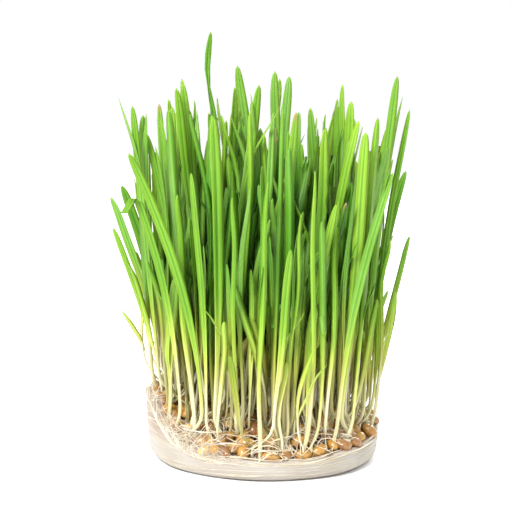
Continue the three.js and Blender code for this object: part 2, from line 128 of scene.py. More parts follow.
def mat_skin(share, angle):
    """Radius and height of the mat's skin, from the middle of its underside to that of its bed."""
    rim = rim_height(angle)
    if share < UNDERSIDE_SHARE:
        return UNDERSIDE_RADIUS * share / UNDERSIDE_SHARE, 0
    if share < EDGE_SHARE:
        quarter = (share - UNDERSIDE_SHARE) / (EDGE_SHARE - UNDERSIDE_SHARE) * math.pi / 2
        out = wall_radius(angle, EDGE_ROUND) - UNDERSIDE_RADIUS
        return UNDERSIDE_RADIUS + out * math.sin(quarter), EDGE_ROUND * (1 - math.cos(quarter))
    if share < WALL_SHARE:
        height = EDGE_ROUND + (rim - EDGE_ROUND) * (share - EDGE_SHARE) / (WALL_SHARE - EDGE_SHARE)
        return wall_radius(angle, height), height
    if share < RIM_SHARE:
        over = (share - WALL_SHARE) / (RIM_SHARE - WALL_SHARE)
        return wall_radius(angle, rim) - RIM_WIDTH * over, rim - RIM_DROP * over * over
    radius = bed_edge(angle) * (1 - share) / (1 - RIM_SHARE)
    return radius, bed_height(radius, angle)


def round_the_pad(radius, angle):
    """Where a point at a radius and an angle round the pad's middle lies, from above."""
    return radius * math.cos(angle), radius * math.sin(angle)


def from_middle(point):
    """The radius and the angle of a point, from above."""
    return math.hypot(point[0], point[1]), math.atan2(point[1], point[0])


def close_skin(bm):
    bmesh.ops.remove_doubles(bm, verts=bm.verts, dist=1e-6)
    bmesh.ops.recalc_face_normals(bm, faces=bm.faces)


def finish_piece(name, shape, *materials):
    """Adds a bmesh or a mesh as a smooth piece of the pad."""
    mesh = shape
    if isinstance(shape, bmesh.types.BMesh):
        mesh = bpy.data.meshes.new(name)
        shape.to_mesh(mesh)
        shape.free()
    piece = bpy.data.objects.new(name, mesh)
    bpy.context.scene.collection.objects.link(piece)
    for material in materials:
        mesh.materials.append(material)
    for polygon in mesh.polygons:
        polygon.use_smooth = True
    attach(piece, "root")
    return piece


def linear(hex_colour):
    channels = [int(hex_colour[k : k + 2], 16) / 255 for k in (0, 2, 4)]
    bent = [c / 12.92 if c <= 0.04045 else ((c + 0.055) / 1.055) ** 2.4 for c in channels]
    return (*bent, 1.0)


def set_sockets(tree, node, sockets):
    """Gives a node's sockets their values or (node, output) links."""
    for socket, value in sockets.items():
        if isinstance(value, tuple) and isinstance(value[0], bpy.types.Node):
            tree.links.new(value[0].outputs[value[1]], node.inputs[socket])
        else:
            node.inputs[socket].default_value = value


def add_node(tree, kind, sockets=None, stops=(), **settings):
    """Adds a node with its settings, the stops of a ramp, and its sockets."""
    made = tree.nodes.new("ShaderNode" + kind)
    for key, value in settings.items():
        setattr(made, key, value)
    for k, (position, hex_colour) in enumerate(stops):
        elements = made.color_ramp.elements
        stop = elements[k] if k < len(elements) else elements.new(position)
        stop.position = position
        stop.color = linear(hex_colour)
    set_sockets(tree, made, sockets or {})
    return made


def new_material(name):
    material = bpy.data.materials.new(name)
    material.use_nodes = True
    tree = material.node_tree
    surface = tree.nodes["Principled BSDF"]
    return material, tree, surface


BLENDED = {"data_type": "RGBA"}
WASHED = {"data_type": "RGBA", "blend_type": "MULTIPLY"}

# Felted roots: moist cellulose, pressed smooth by the tub. Streaks run level, because the roots
# circled, and light goes a little way in. Grains show as soft brown spots where the wall is thin.
felt, tree, surface = new_material("felted wheat roots")
spot = add_node(tree, "TexCoord")
level = add_node(tree, "Mapping", {"Vector": (spot, "Object"), "Scale": (1, 1, FELT_STREAK_LENGTH)})
streaks = add_node(
    tree, "TexNoise", {"Vector": (level, "Vector"), "Scale": FELT_STREAKS / (FELT_STREAK_MM * MM),
                       "Detail": 6.0, "Roughness": 0.62, "Distortion": 0.35})
clouds = add_node(tree, "TexNoise", {"Vector": (spot, "Object"), "Scale": 1 / (FELT_STAIN_MM * MM),
                                     "Detail": 3.0})
cream = add_node(tree, "ValToRGB", {"Fac": (streaks, "Fac")}, [(0.34, FELT_GREY), (0.52, FELT_CREAM)])
stained = add_node(tree, "ValToRGB", {"Fac": (clouds, "Fac")}, [(0.4, FELT_STAIN), (0.6, "ffffff")])
wash = add_node(tree, "Mix", {"Factor": 0.55, "A": (cream, "Color"), "B": (stained, "Color")}, **WASHED)
sheer = add_node(tree, "Attribute", attribute_name="sheer")
rosy_wall = add_node(tree, "Mix", {"Factor": (sheer, "Fac"), "A": (wash, "Result"),
                                   "B": linear(SHEER_ROSE)}, **WASHED)
behind = add_node(tree, "TexVoronoi", {"Vector": (spot, "Object"), "Scale": 1 / (GRAINS_APART_MM * MM),
                                       "Randomness": 0.9})
soft_spots = add_node(tree, "MapRange", {"Value": (behind, "Distance"), "From Min": 0.52,
                                         "From Max": 0.3, "To Max": 0.55},
                      interpolation_type="SMOOTHSTEP")
some_cells = add_node(tree, "MapRange", {"Value": (behind, "Color"), "From Min": 0.36, "From Max": 0.46})
some_spots = add_node(tree, "Math", {0: (soft_spots, "Result"), 1: (some_cells, "Result")},
                      operation="MULTIPLY")
thin_spots = add_node(tree, "Math", {0: (some_spots, "Value"), 1: (sheer, "Fac")}, operation="MULTIPLY")
see_through = add_node(tree, "Mix", {"Factor": (thin_spots, "Value"), "A": (rosy_wall, "Result"),
                                     "B": linear(GRAIN_BEHIND)}, **BLENDED)
on_top = add_node(tree, "Attribute", attribute_name="bed")
litter = add_node(tree, "TexNoise", {"Vector": (spot, "Object"), "Scale": 1 / (BED_LITTER_MM * MM),
                                     "Detail": 4.0})
litter_colour = add_node(tree, "ValToRGB", {"Fac": (litter, "Fac")}, [(0.4, BED_BROWN), (0.62, BED_PALE)])
bedded = add_node(tree, "Mix", {"Factor": (on_top, "Fac"), "A": (see_through, "Result"),
                                "B": (litter_colour, "Color")}, **BLENDED)
relief = add_node(tree, "Bump", {"Height": (streaks, "Fac"), "Strength": 0.35, "Distance": 0.25 * MM})
set_sockets(tree, surface, {
    "Base Color": (bedded, "Result"), "Normal": (relief, "Normal"), "Roughness": 0.62,
    "Subsurface Weight": 0.45, "Subsurface Radius": (1.0, 0.8, 0.6), "Subsurface Scale": 2.6 * MM,
})

mat = bmesh.new()
bed_layer = mat.verts.layers.float.new("bed")
sheer_layer = mat.verts.layers.float.new("sheer")
long, high = FELT_LUMPS
grid = bmesh.ops.create_grid(mat, x_segments=MAT_SIDES, y_segments=MAT_RINGS, size=0.5)
for vert in grid["verts"]:
    angle = (vert.co.x + 0.5) * TURN
    share = vert.co.y + 0.5
    radius, height = mat_skin(share, angle)
    spot_on_mat = Vector((*round_the_pad(radius, angle), height))
    lumps = noise.noise(Vector((spot_on_mat.x / long, spot_on_mat.y / long, height / high)))
    if EDGE_SHARE < share < RIM_SHARE:
        radius -= FELT_RELIEF * abs(lumps)
    elif share > RIM_SHARE and share < 1:
        height -= BED_RELIEF * abs(noise.noise(spot_on_mat / BED_LUMPS))
    torn = max(0, 1 - abs(share - RIM_SHARE) / (RIM_SHARE - WALL_SHARE + RIM_TEAR_FADE))
    height += RIM_TEAR * torn * noise.noise(Vector((*round_the_pad(1, angle), 0.3)) * RIM_TEARS)
    if share > WALL_SHARE:
        height += RIM_ROLL * math.exp(-(((share - RIM_SHARE - RIM_ROLL_AT) / RIM_ROLL_WIDTH) ** 2))
    vert[sheer_layer] = ease((height - SHEER_FROM) / SHEER_RISE)
    vert[bed_layer] = ease((share - WALL_SHARE) / (RIM_SHARE - WALL_SHARE + BED_FADE))
    vert.co = Vector((*round_the_pad(radius, angle), height)) * MM
close_skin(mat)
root_mat = finish_piece("root_mat_felt", mat, felt)
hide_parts("root_mat")


# The grains: swollen wheat, lying on the mat in handfuls of one to three that touch. They are
# laid by the rule that the model's handfuls follow, with the same seeded draws.
GAP = 0.4
TRIES = 90
GRAIN_LENGTH = 7.6
GRAIN_WIDTH = 4.5
GRAIN_DEPTH = 4
GRAIN_HALF = np.array([GRAIN_WIDTH, GRAIN_LENGTH, GRAIN_DEPTH]) / 2
GRAIN_TILT = 0.25
GRAIN_TOUCH = 0.8
GRAIN_OVERLAP = 0.68
GRAIN_STIR = 2.5
GRAIN_NUDGE = 0.1
HANDFUL_LEAST = 2
THIRD_GRAIN_SHARE = 0.45
FRONT_GRAINS = [
    (-22.8, -20.4, 100), (-25.4, -33, 5), (6.2, -22, 30), (7.7, -34.6, 80), (18.5, -32.6, 35),
    (31.2, -17.5, 50), (32.9, -27.1, 110), (45.8, -2.7, 0), (-46.5, -3.6, 0), (-45.8, 8, 0),
    (-34.7, -28.3, 10), (-5.1, -28.1, 70), (-10.9, -40.5, 5), (25.5, -37.5, 0), (40.5, -17, 0),
]
SPIRAL_PLACES = 46
SPIRAL_RADIUS = 46.5
GOLDEN_TURN = 2.399963

seed = 20260


def draw(low=0.0, high=1.0):
    """The model's own draw, so that the fine grass grows where the model's does."""
    global seed
    seed = (seed * 1664525 + 1013904223) % 4294967296
    return low + (high - low) * seed / 4294967296


def unit(vectors):
    return vectors / np.linalg.norm(vectors, axis=-1, keepdims=True)


def turned(vectors, axes, angle):
    """Vectors turned about unit axes that are at right angles to them."""
    return vectors * math.cos(angle) + np.cross(axes, vectors) * math.sin(angle)


def on_bed(radius, angle):
    return np.stack([radius * np.cos(angle), radius * np.sin(angle), bed_height(radius, angle)], -1)


def support(axes, direction):
    """How far a level plane facing a direction must stand off to clear a grain."""
    return np.linalg.norm(np.einsum("...ij,...j->...i", axes, direction) * GRAIN_HALF, axis=-1)


def reach(axes, direction):
    """How far a grain's skin lies from its centre in a direction."""
    return 1 / np.linalg.norm(np.einsum("...ij,...j->...i", axes, direction) / GRAIN_HALF, axis=-1)


def lay_grain(x, y, swing, tilt):
    """Centres and axes (across, along, up) of grains lying on the bed."""
    radius = np.hypot(x, y)
    angle = np.arctan2(y, x)
    here = on_bed(radius, angle)
    out = unit(on_bed(radius + 1, angle) - here)
    around = unit(on_bed(radius, angle + 0.02) - here)
    up = unit(np.cross(out, around))
    along = turned(around, up, swing)
    across = np.cross(up, along)
    along = turned(along, across, tilt)
    axes = np.stack([across, along, np.cross(across, along)], -2)
    return here + up * (support(axes, up) + GAP)[..., None], axes


def towards(a, b):
    apart = b[0] - a[0]
    distance = np.linalg.norm(apart, axis=-1)
    return distance, apart / distance[..., None]


def grains_clear(a, b):
    distance, way = towards(a, b)
    return distance > support(a[1], way) + support(b[1], way) + GAP


def closeness(a, b):
    distance, way = towards(a, b)
    return distance / (reach(a[1], way) + reach(b[1], way))


def grain_fits(grain, others):
    if others and not np.all(grains_clear(grain, (np.stack([o[0] for o in others]),
                                                  np.stack([o[1] for o in others])))):
        return False
    outward = np.array([grain[0][0], grain[0][1], 0])
    radius = np.linalg.norm(outward)
    return radius + support(grain[1], outward / radius) < bed_edge(from_middle(grain[0])[1]) - GAP


def grain_beside(first, handful, others):
    """A grain pushed up against another on a chosen side, or None where it doesn't fit."""
    heading = draw(0, TURN)
    swing = draw(0, TURN)
    tilt = draw(-GRAIN_TILT, GRAIN_TILT)
    away = np.arange(GRAIN_LENGTH, GRAIN_WIDTH / 2, -GRAIN_NUDGE)
    x = first[0][0] + away * math.cos(heading)
    y = first[0][1] + away * math.sin(heading)
    tried = lay_grain(x, y, swing, tilt)
    near = np.hypot(x, y) <= bed_edge(np.arctan2(y, x))
    near &= closeness(first, tried) <= GRAIN_TOUCH
    if not near.any():
        return None
    grain = (tried[0][near.argmax()], tried[1][near.argmax()])
    apart = all(other is first or closeness(grain, other) > GRAIN_OVERLAP for other in handful)
    return grain if apart and grain_fits(grain, others) else None


def lay_handful(x, y, swing, others):
    first = lay_grain(np.float64(x), np.float64(y), swing * DEGREE, 0)
    if not grain_fits(first, others):
        return []
    handful = [first]
    most = HANDFUL_LEAST + (1 if draw() < THIRD_GRAIN_SHARE else 0)
    for _ in range(TRIES):
        if len(handful) >= most:
            break
        grain = grain_beside(handful[int(draw(0, len(handful)))], handful, others)
        if grain:
            handful.append(grain)
    return handful


def handful_places():
    places = list(FRONT_GRAINS)
    for k in range(SPIRAL_PLACES):
        radius = SPIRAL_RADIUS * math.sqrt((k + 0.5) / SPIRAL_PLACES)
        outer = radius > SPIRAL_RADIUS - GRAIN_LENGTH / 2
        places.append((*round_the_pad(radius, k * GOLDEN_TURN), 0 if outer else draw(0, 360)))
    return places


handfuls = []
all_grains = []
for x, y, swing in handful_places():
    for k in range(TRIES):
        stir = GRAIN_STIR if k else 0
        laid = lay_handful(x + draw(-stir, stir), y + draw(-stir, stir), swing, all_grains)
        if laid:
            handfuls.append({"grains": laid, "blades": []})
            all_grains += laid
            break


# The shoots: each is a rolled white stem out of a grain that turns yellow-green, unrolls into a
# flat blade and ends in a point. A younger leaf leaves some stems. Same rule and draws again.
SHOOT_FORM = {
    "leaf": False, "stations": [0, 0.26, 0.58, 0.9, 1], "widths": [0.44, 0.5, 1, 0.72, 0],
    "depths": [1.6, 1.4, 0.75, 0.65, 0],
}
LEAF_FORM = {
    "leaf": True, "stations": [0, 0.4, 0.85, 1], "widths": [0.3, 0.95, 0.8, 0],
    "depths": [0.7, 0.7, 0.65, 0],
}
GERM_REACH = 0.7
STEM_SPACING = 2.6
STEM_ROOM = 1.25
SHOOTS_IN_HANDFUL = 5
LEAN_AT_FOOT = 0.3
SLICE = 5
SLICES = 38
NEAR = 12
SHARE_OF_DEPTHS = 0.67
ROWS = {"front": (-44, -14), "middle": (-18, 18), "back": (6, 40)}
GERM_ENDS = (-0.5, 0.5)
MARK_STIR = 3
MARK_TIP_STIR = 8
MARK_TURN = 0.6
SIGHT_X = -4.3
SIGHT_AWAY = 670
SIGHT_HEIGHT = 165
MARKED_SHOOTS = [
    (-46, (-59, 150), 3.2, "middle"), (-25, (-60, 130), 4.2, "front"), (-35, (-62, 127), 3.6, "front"),
    (-47, (-62.5, 116), 4.3, "middle"), (-48, (-68, 111), 3.8, "middle"), (-47, (-66, 98), 2.6, "middle"),
    (-36, (-46.5, 145), 3.4, "middle"), (-38, (-40, 150), 4.2, "middle"), (-17, (-41.5, 158), 3.8, "front"),
    (-31, (-38, 162), 3.4, "back"), (-27, (-36, 160), 4.2, "middle"), (-27, (-26.5, 147), 4.6, "front"),
    (-19, (-23.5, 182), 3.4, "middle"), (-22, (-23.4, 146), 4.6, "front"), (-13, (-16.5, 166), 2.8, "back"),
    (-15, (-17, 159), 4.2, "middle"), (-10, (-12, 168), 4.4, "middle"), (-13, (-3.5, 160), 4.2, "front"),
    (0, (1, 163), 3.2, "back"), (2.6, (4.8, 166), 4.2, "middle"), (5.6, (7.5, 164), 4.4, "back"),
    (11, (13.5, 149), 4.8, "front"), (26, (18, 151), 3.8, "middle"), (30, (27, 155), 3.4, "back"),
    (31, (33.8, 161), 2.6, "middle"), (36, (41, 141), 4.6, "front"), (41, (49, 152), 3, "back"),
    (46, (55, 165), 3.8, "middle"), (47, (59, 151), 2.8, "middle"), (47, (59, 125), 4, "middle"),
    (42, (53, 124), 3.8, "front"), (47, (62, 97), 2.4, "middle"), (48, (57.5, 73), 2.8, "middle"),
    (36, (47, 107), 3.4, "front"), (3, (21, 90), 3.6, "front"), (18, (34, 94), 2.8, "front"),
    (14, (27, 89), 4.2, "front"), (-9, (10.5, 125), 3.2, "front"), (-20, (-33, 109), 3.2, "front"),
    (-37, (-38.5, 77), 4.4, "front"),
]
TIP_LOW = 98
TIP_HIGH = 156
TALL_BIAS = 0.7
SHORT_SHARE = 0.12
SHORT_WIDTH = 0.75
SHORT_TIP_LOW = 52
SHORT_TIP_HIGH = 92
BLADE_NARROW = 3
BLADE_BROAD = 4.7
FLARE = 0.24
WANDER = 24
TIP_SPREAD = 54
BOW = 2.5
EDGE_BOW = 0.5
EDGE_REACH = 1.1
EDGE_SOFTNESS = 6
TWIST = 45 * DEGREE
LEAF_SHARE = 0.36
LEAF_FROM = (0.26, 0.4)
LEAF_REACH = 15
LEAF_LENGTH = (0.6, 1.05)
LEAF_BREADTH = (0.62, 0.9)

SLICE_HEIGHTS = np.arange(SLICES) * SLICE
grown = []
grown_slices = np.zeros((0, 5, SLICES))
grown_here = np.zeros((0, SLICES), bool)


def blade_middle(blade, share):
    """The middle of a blade, in millimetres, at shares of its length."""
    lean = LEAN_AT_FOOT * share + (1 - LEAN_AT_FOOT) * share * share
    bend = np.sin(math.pi * share)
    x = blade["foot"][0] + blade["drift"][0] * lean + blade["bow"][0] * bend
    y = blade["foot"][1] + blade["drift"][1] * lean + blade["bow"][1] * bend
    z = blade["foot"][2] + (blade["tip"] - blade["foot"][2]) * share
    return np.stack([x, y, z], -1)


def slice_blade(blade):
    """Both edges and the depth of a blade where level slices cut it."""
    share = np.array(blade["stations"], float)
    middle = blade_middle(blade, share)
    turn = blade["facing"] + blade["twist"] * share
    half = np.array(blade["widths"]) * blade["width"] / 2
    depth = np.array(blade["depths"])
    side = np.stack([np.cos(turn), np.sin(turn)], -1)
    back = np.stack([-np.sin(turn), np.cos(turn)], -1)
    left = middle[:, :2] - side * half[:, None] - back * depth[:, None] / 3
    right = middle[:, :2] + side * half[:, None] - back * depth[:, None] / 3
    heights = middle[:, 2]
    rows = [left[:, 0], left[:, 1], right[:, 0], right[:, 1], depth]
    here = (SLICE_HEIGHTS >= heights[0]) & (SLICE_HEIGHTS < heights[-1])
    return np.stack([np.interp(SLICE_HEIGHTS, heights, row) for row in rows]), here


def point_to_span(px, py, ax, ay, bx, by):
    """How far points lie from spans, all seen from above."""
    span_x, span_y = bx - ax, by - ay
    length = span_x * span_x + span_y * span_y
    raw = ((px - ax) * span_x + (py - ay) * span_y) / np.where(length > 0, length, 1)
    share = np.clip(np.where(length > 0, raw, 0), 0, 1)
    return np.hypot(px - ax - share * span_x, py - ay - share * span_y)


def which_side(ax, ay, bx, by, cx, cy):
    """Above zero where the third point lies to the left of the line from the first to the second."""
    return (bx - ax) * (cy - ay) - (by - ay) * (cx - ax)


def blades_clear(slices, here, besides=None):
    """Whether a sliced blade stands clear of all that have grown, but for one."""
    both = grown_here & here
    if besides is not None:
        both[besides] = False
    a, b = np.broadcast_to(slices, grown_slices.shape), grown_slices
    both &= (np.abs(a[:, 0] - b[:, 0]) <= NEAR) & (np.abs(a[:, 1] - b[:, 1]) <= NEAR)
    rows, cuts = np.nonzero(both)
    if not len(rows):
        return True
    lx, ly, rx, ry, depth = a[rows, :, cuts].T
    mx, my, nx, ny, other = b[rows, :, cuts].T
    split = which_side(lx, ly, rx, ry, mx, my) * which_side(lx, ly, rx, ry, nx, ny) < 0
    split &= which_side(mx, my, nx, ny, lx, ly) * which_side(mx, my, nx, ny, rx, ry) < 0
    apart = np.minimum.reduce([
        point_to_span(lx, ly, mx, my, nx, ny), point_to_span(rx, ry, mx, my, nx, ny),
        point_to_span(mx, my, lx, ly, rx, ry), point_to_span(nx, ny, lx, ly, rx, ry),
    ])
    return not np.any(split | (apart < (depth + other) * SHARE_OF_DEPTHS + GAP))


def foot_clear(foot, handful):
    """Whether a stem's foot stands clear of the other handfuls' grains, seen from above."""
    own = {id(grain) for grain in handful["grains"]}
    for grain in all_grains:
        if id(grain) in own:
            continue
        along = grain[1][1]
        flat = math.hypot(along[0], along[1])
        dx, dy = foot[0] - grain[0][0], foot[1] - grain[0][1]
        far = (dx * along[0] + dy * along[1]) / flat / (GRAIN_HALF[1] * flat + STEM_ROOM)
        near = (-dx * along[1] + dy * along[0]) / flat / (GRAIN_HALF[0] + STEM_ROOM)
        if far * far + near * near <= 1:
            return False
    return True


def germ(grain, share):
    """Where a shoot breaks out of a grain: along it, and at the rim on its outer flank."""
    foot = grain[0] + grain[1][1] * share * GRAIN_HALF[1]
    radius = from_middle(foot)[0]
    push = EDGE_REACH * (radius / SPIRAL_RADIUS) ** EDGE_SOFTNESS / radius
    return foot + np.array([foot[0] * push, foot[1] * push, 0])


def shoot_at(foot, tip_x, tip_y, tip, width):
    radius = from_middle(foot)[0]
    outward = EDGE_BOW * (radius / SPIRAL_RADIUS) ** EDGE_SOFTNESS / radius
    return {
        "foot": foot, "drift": (tip_x - foot[0], tip_y - foot[1]),
        "bow": (foot[0] * outward + draw(-BOW, BOW), foot[1] * outward + draw(-BOW, BOW)),
        "facing": draw(0, TURN), "twist": draw(-TWIST, TWIST), "tip": tip, "width": width, **SHOOT_FORM,
    }


def plant(blade, handful, slices, here):
    global grown_slices, grown_here
    grown_slices = np.concatenate([grown_slices, slices[None]])
    grown_here = np.concatenate([grown_here, here[None]])
    blade["index"] = len(grown)
    grown.append(blade)
    handful["blades"].append(blade)


def plant_if_clear(shoot, handful):
    """Plants a shoot that stands clear of stems, grains and blades, and says whether it did."""
    foot = shoot["foot"]
    if any(not other["leaf"] and math.dist(foot, other["foot"]) < STEM_SPACING for other in grown):
        return False
    if not foot_clear(foot, handful):
        return False
    slices, here = slice_blade(shoot)
    if not blades_clear(slices, here):
        return False
    plant(shoot, handful, slices, here)
    return True


germs = [(handful, germ(grain, end)) for handful in handfuls for grain in handful["grains"]
         for end in GERM_ENDS]
for foot_x, (tip_x, tip), width, row in MARKED_SHOOTS:
    for _ in range(TRIES):
        x = foot_x + draw(-MARK_STIR, MARK_STIR)
        y = draw(*ROWS[row])
        handful, foot = min(germs, key=lambda one: math.hypot(one[1][0] - x, one[1][1] - y))
        tip_y = foot[1] * (1 + FLARE) + draw(-MARK_TIP_STIR, MARK_TIP_STIR)
        nearer = (SIGHT_AWAY + tip_y) / SIGHT_AWAY
        seen_x = SIGHT_X + (tip_x - SIGHT_X) * nearer
        seen_tip = SIGHT_HEIGHT + (tip - SIGHT_HEIGHT) * nearer
        shoot = shoot_at(foot, seen_x, tip_y, seen_tip, width)
        shoot["facing"] = draw(-MARK_TURN, MARK_TURN)
        shoot["twist"] *= MARK_TURN
        if plant_if_clear(shoot, handful):
            break

for handful in handfuls:
    for _ in range(SHOOTS_IN_HANDFUL - len(handful["blades"])):
        for _ in range(TRIES):
            grain = handful["grains"][int(draw(0, len(handful["grains"])))]
            foot = germ(grain, draw(-GERM_REACH, GERM_REACH))
            short = draw() < SHORT_SHARE
            tip = TIP_LOW + (TIP_HIGH - TIP_LOW) * draw() ** TALL_BIAS
            if short:
                tip = draw(SHORT_TIP_LOW, SHORT_TIP_HIGH)
            wander = WANDER * tip / TIP_HIGH
            tip_x = foot[0] * (1 + FLARE) + draw(-1, 1) * draw() * wander
            tip_y = foot[1] * (1 + FLARE) + draw(-1, 1) * draw() * wander
            width = draw(BLADE_NARROW, BLADE_BROAD) * (SHORT_WIDTH if short else 1)
            held = min(1, TIP_SPREAD / math.hypot(tip_x, tip_y))
            if plant_if_clear(shoot_at(foot, tip_x * held, tip_y * held, tip, width), handful):
                break

for handful in handfuls:
    for shoot in list(handful["blades"]):
        if draw() >= LEAF_SHARE:
            continue
        for _ in range(TRIES):
            start = blade_middle(shoot, draw(*LEAF_FROM))
            leaf = {
                "foot": start, "drift": (draw(-LEAF_REACH, LEAF_REACH), draw(-LEAF_REACH, LEAF_REACH)),
                "bow": (draw(-BOW, BOW) / 2, draw(-BOW, BOW) / 2), "facing": draw(0, TURN),
                "twist": draw(-TWIST, TWIST) / 2,
                "tip": start[2] + (shoot["tip"] - start[2]) * draw(*LEAF_LENGTH),
                "width": shoot["width"] * draw(*LEAF_BREADTH), **LEAF_FORM,
            }
            slices, here = slice_blade(leaf)
            if blades_clear(slices, here, shoot["index"]):
                plant(leaf, handful, slices, here)
                break


# Wheat grains after some days of soaking: the bran is swollen, glossy and amber to brown, with the
# crease down one side, darkened with painted shade, and a paler germ end. More lie half sunk in the
# felt between the handfuls.
GRAIN_SIDES = 10
GRAIN_BANDS = 8
CREASE_DEPTH = 0.34
GERM_TAPER = 0.2
SUNK_GRAINS = 190
SUNK_TRIES = 4000
SUNK_CLOSENESS = 0.8
SUNK_DEPTH = 0.12
SUNK_TILT = 0.6
SUNK_REACH = (0.12, 0.93)
CREASE_SHARPNESS = 12
GRAIN_SWELL = (1.22, 1.06, 1.26)
BRAN_AMBER = "b68b42"
BRAN_PALE = "d3b371"
BRAN_BROWN = "86592a"
BRAN_MOTTLE = "dcbd88"
BRAN_MOTTLE_MM = 1.11
CREASE_PAINTED_SHADE = "552f10"
PLANT_LAYERS = ("growth", "tint", "rosy")

chance = random.Random(7)

bran, tree, surface = new_material("soaked wheat bran")
tint = add_node(tree, "Attribute", attribute_name="tint")
growth = add_node(tree, "Attribute", attribute_name="growth")
spot = add_node(tree, "TexCoord")
mottle = add_node(tree, "TexNoise", {"Vector": (spot, "Object"), "Scale": 1 / (BRAN_MOTTLE_MM * MM),
                                     "Detail": 3.0})
body_colour = add_node(tree, "ValToRGB", {"Fac": (tint, "Fac")},
                       [(0.0, BRAN_BROWN), (0.55, BRAN_AMBER), (0.8, BRAN_AMBER), (1.0, BRAN_PALE)])
patches = add_node(tree, "ValToRGB", {"Fac": (mottle, "Fac")}, [(0.35, BRAN_MOTTLE), (0.62, "ffffff")])
mottled = add_node(tree, "Mix", {"Factor": 0.6, "A": (body_colour, "Color"), "B": (patches, "Color")},
                   **WASHED)
# Painted shade: the bran darkens to a deep brown along the crease.
crease_shade_mask = add_node(tree, "MapRange", {"Value": (growth, "Fac"), "From Min": 0.35, "From Max": 0.95})
crease_shaded = add_node(tree, "Mix", {"Factor": (crease_shade_mask, "Result"), "A": (mottled, "Result"),
                                 "B": linear(CREASE_PAINTED_SHADE)}, **BLENDED)
wrinkles = add_node(tree, "Bump", {"Height": (mottle, "Fac"), "Strength": 0.25, "Distance": 0.2 * MM})
set_sockets(tree, surface, {
    "Base Color": (crease_shaded, "Result"), "Normal": (wrinkles, "Normal"), "Roughness": 0.3,
    "Coat Weight": 0.5, "Coat Roughness": 0.18, "Subsurface Weight": 0.15,
    "Subsurface Radius": (0.8, 0.5, 0.25), "Subsurface Scale": 0.8 * MM,
})


def add_grain(bm, grain, material_index):
    """Adds one creased grain with a tapered germ end, rolled at random about its length."""
    growth_layer, tint_layer, _ = (bm.verts.layers.float[name] for name in PLANT_LAYERS)
    centre, axes = grain
    roll = chance.uniform(0, TURN)
    tone = chance.random()
    made = bmesh.ops.create_uvsphere(bm, u_segments=GRAIN_SIDES, v_segments=GRAIN_BANDS, radius=1)
    for vert in made["verts"]:
        x, y, z = vert.co
        around = math.atan2(y, x)
        crease = max(0.0, math.cos(around)) ** CREASE_SHARPNESS * (1 - z * z)
        slim = (1 - CREASE_DEPTH * crease) * (1 - GERM_TAPER * max(0.0, z) ** 2)
        x, y = x * slim, y * slim
        x, y = x * math.cos(roll) - y * math.sin(roll), x * math.sin(roll) + y * math.cos(roll)
        swollen = np.array([x, z, y]) * GRAIN_HALF * GRAIN_SWELL
        vert.co = Vector(centre + swollen @ axes) * MM
        vert[growth_layer] = crease
        vert[tint_layer] = tone
    for face in {face for vert in made["verts"] for face in vert.link_faces}:
        face.material_index = material_index


def new_plant_mesh():
    """A bmesh with what the bran and leaf materials read."""
    bm = bmesh.new()
    for name in PLANT_LAYERS:
        bm.verts.layers.float.new(name)
    bm.loops.layers.uv.new("UVMap")
    return bm


sunk = new_plant_mesh()
sunk_grains = []
for _ in range(SUNK_TRIES):
    if len(sunk_grains) == SUNK_GRAINS:
        break
    angle = chance.uniform(0, TURN)
    radius = bed_edge(angle) * math.sqrt(chance.uniform(*SUNK_REACH))
    x, y = np.array(round_the_pad(radius, angle))
    grain = lay_grain(x, y, chance.uniform(0, TURN), chance.uniform(-SUNK_TILT, SUNK_TILT))
    grain = (grain[0] - grain[1][2] * SUNK_DEPTH * GRAIN_DEPTH, grain[1])
    if all(closeness(grain, other) > SUNK_CLOSENESS for other in all_grains + sunk_grains):
        sunk_grains.append(grain)
        add_grain(sunk, grain, 0)
close_skin(sunk)
finish_piece("sunk_grains", sunk, bran)


# Wheat shoots and leaves: round white stems that hook out of the grains, turn yellow-green in the
# light and open into thin blades, keeled along the midrib and veined lengthwise, with blunt points.
# A few are rosy at the foot, or dry or bent at the tip, and the tallest narrows below its tip.
BLADE_SIDES = 8
BLADE_STEPS = [0, 0.006, 0.02, 0.035, 0.055, 0.08, 0.11, 0.15, 0.2, 0.26, 0.33, 0.4, 0.48, 0.56, 0.64,
               0.72, 0.79, 0.85, 0.9, 0.94, 0.97, 0.99, 1]
SHOOT_SHARES = [0, 0.006, 0.1, 0.26, 0.36, 0.48, 0.6, 0.72, 0.82, 0.9, 0.95, 0.98, 0.993, 1]
SHOOT_WIDTHS = [0, 0.46, 0.4, 0.43, 0.6, 0.88, 1.02, 1.04, 1.03, 0.97, 0.85, 0.63, 0.4, 0]
SHOOT_DEPTHS = [0, 0.42, 0.38, 0.38, 0.3, 0.16, 0.1, 0.09, 0.09, 0.09, 0.08, 0.06, 0.05, 0]
SHOOT_FOLDS = [0, 0, 0, 0.04, 0.18, 0.34, 0.38, 0.36, 0.32, 0.26, 0.19, 0.12, 0.07, 0]
LEAF_SHARES = [0, 0.01, 0.12, 0.3, 0.5, 0.7, 0.82, 0.9, 0.96, 1]
LEAF_WIDTHS = [0, 0.32, 0.5, 0.86, 1, 0.96, 0.8, 0.55, 0.28, 0]
LEAF_DEPTHS = [0, 0.3, 0.22, 0.12, 0.1, 0.09, 0.09, 0.08, 0.06, 0]
LEAF_FOLDS = [0, 0.1, 0.26, 0.3, 0.28, 0.24, 0.18, 0.12, 0.06, 0]
HOOK_RISE = 11
HOOK_BEND = 2.6
HOOK_ABOVE = 3.2
HOOK_SMALL = (0.4, 3)
HOOK_WIDE = (4, 8.5)
HOOK_WIDE_SHARE = 0.45
HOOK_SCATTER = 0.8
ROOTED_BELOW_BED = 0.8
FOLD_SCATTER = (0.5, 1.25)
TURN_FROM = 0.6
TURN_MOST = 0.4
SWAY = 1.1
SWAY_WAVES = (4, 9)
NOD = 6
NOD_FROM = 0.64
LEAN = 3
OUTER_TIP = 48
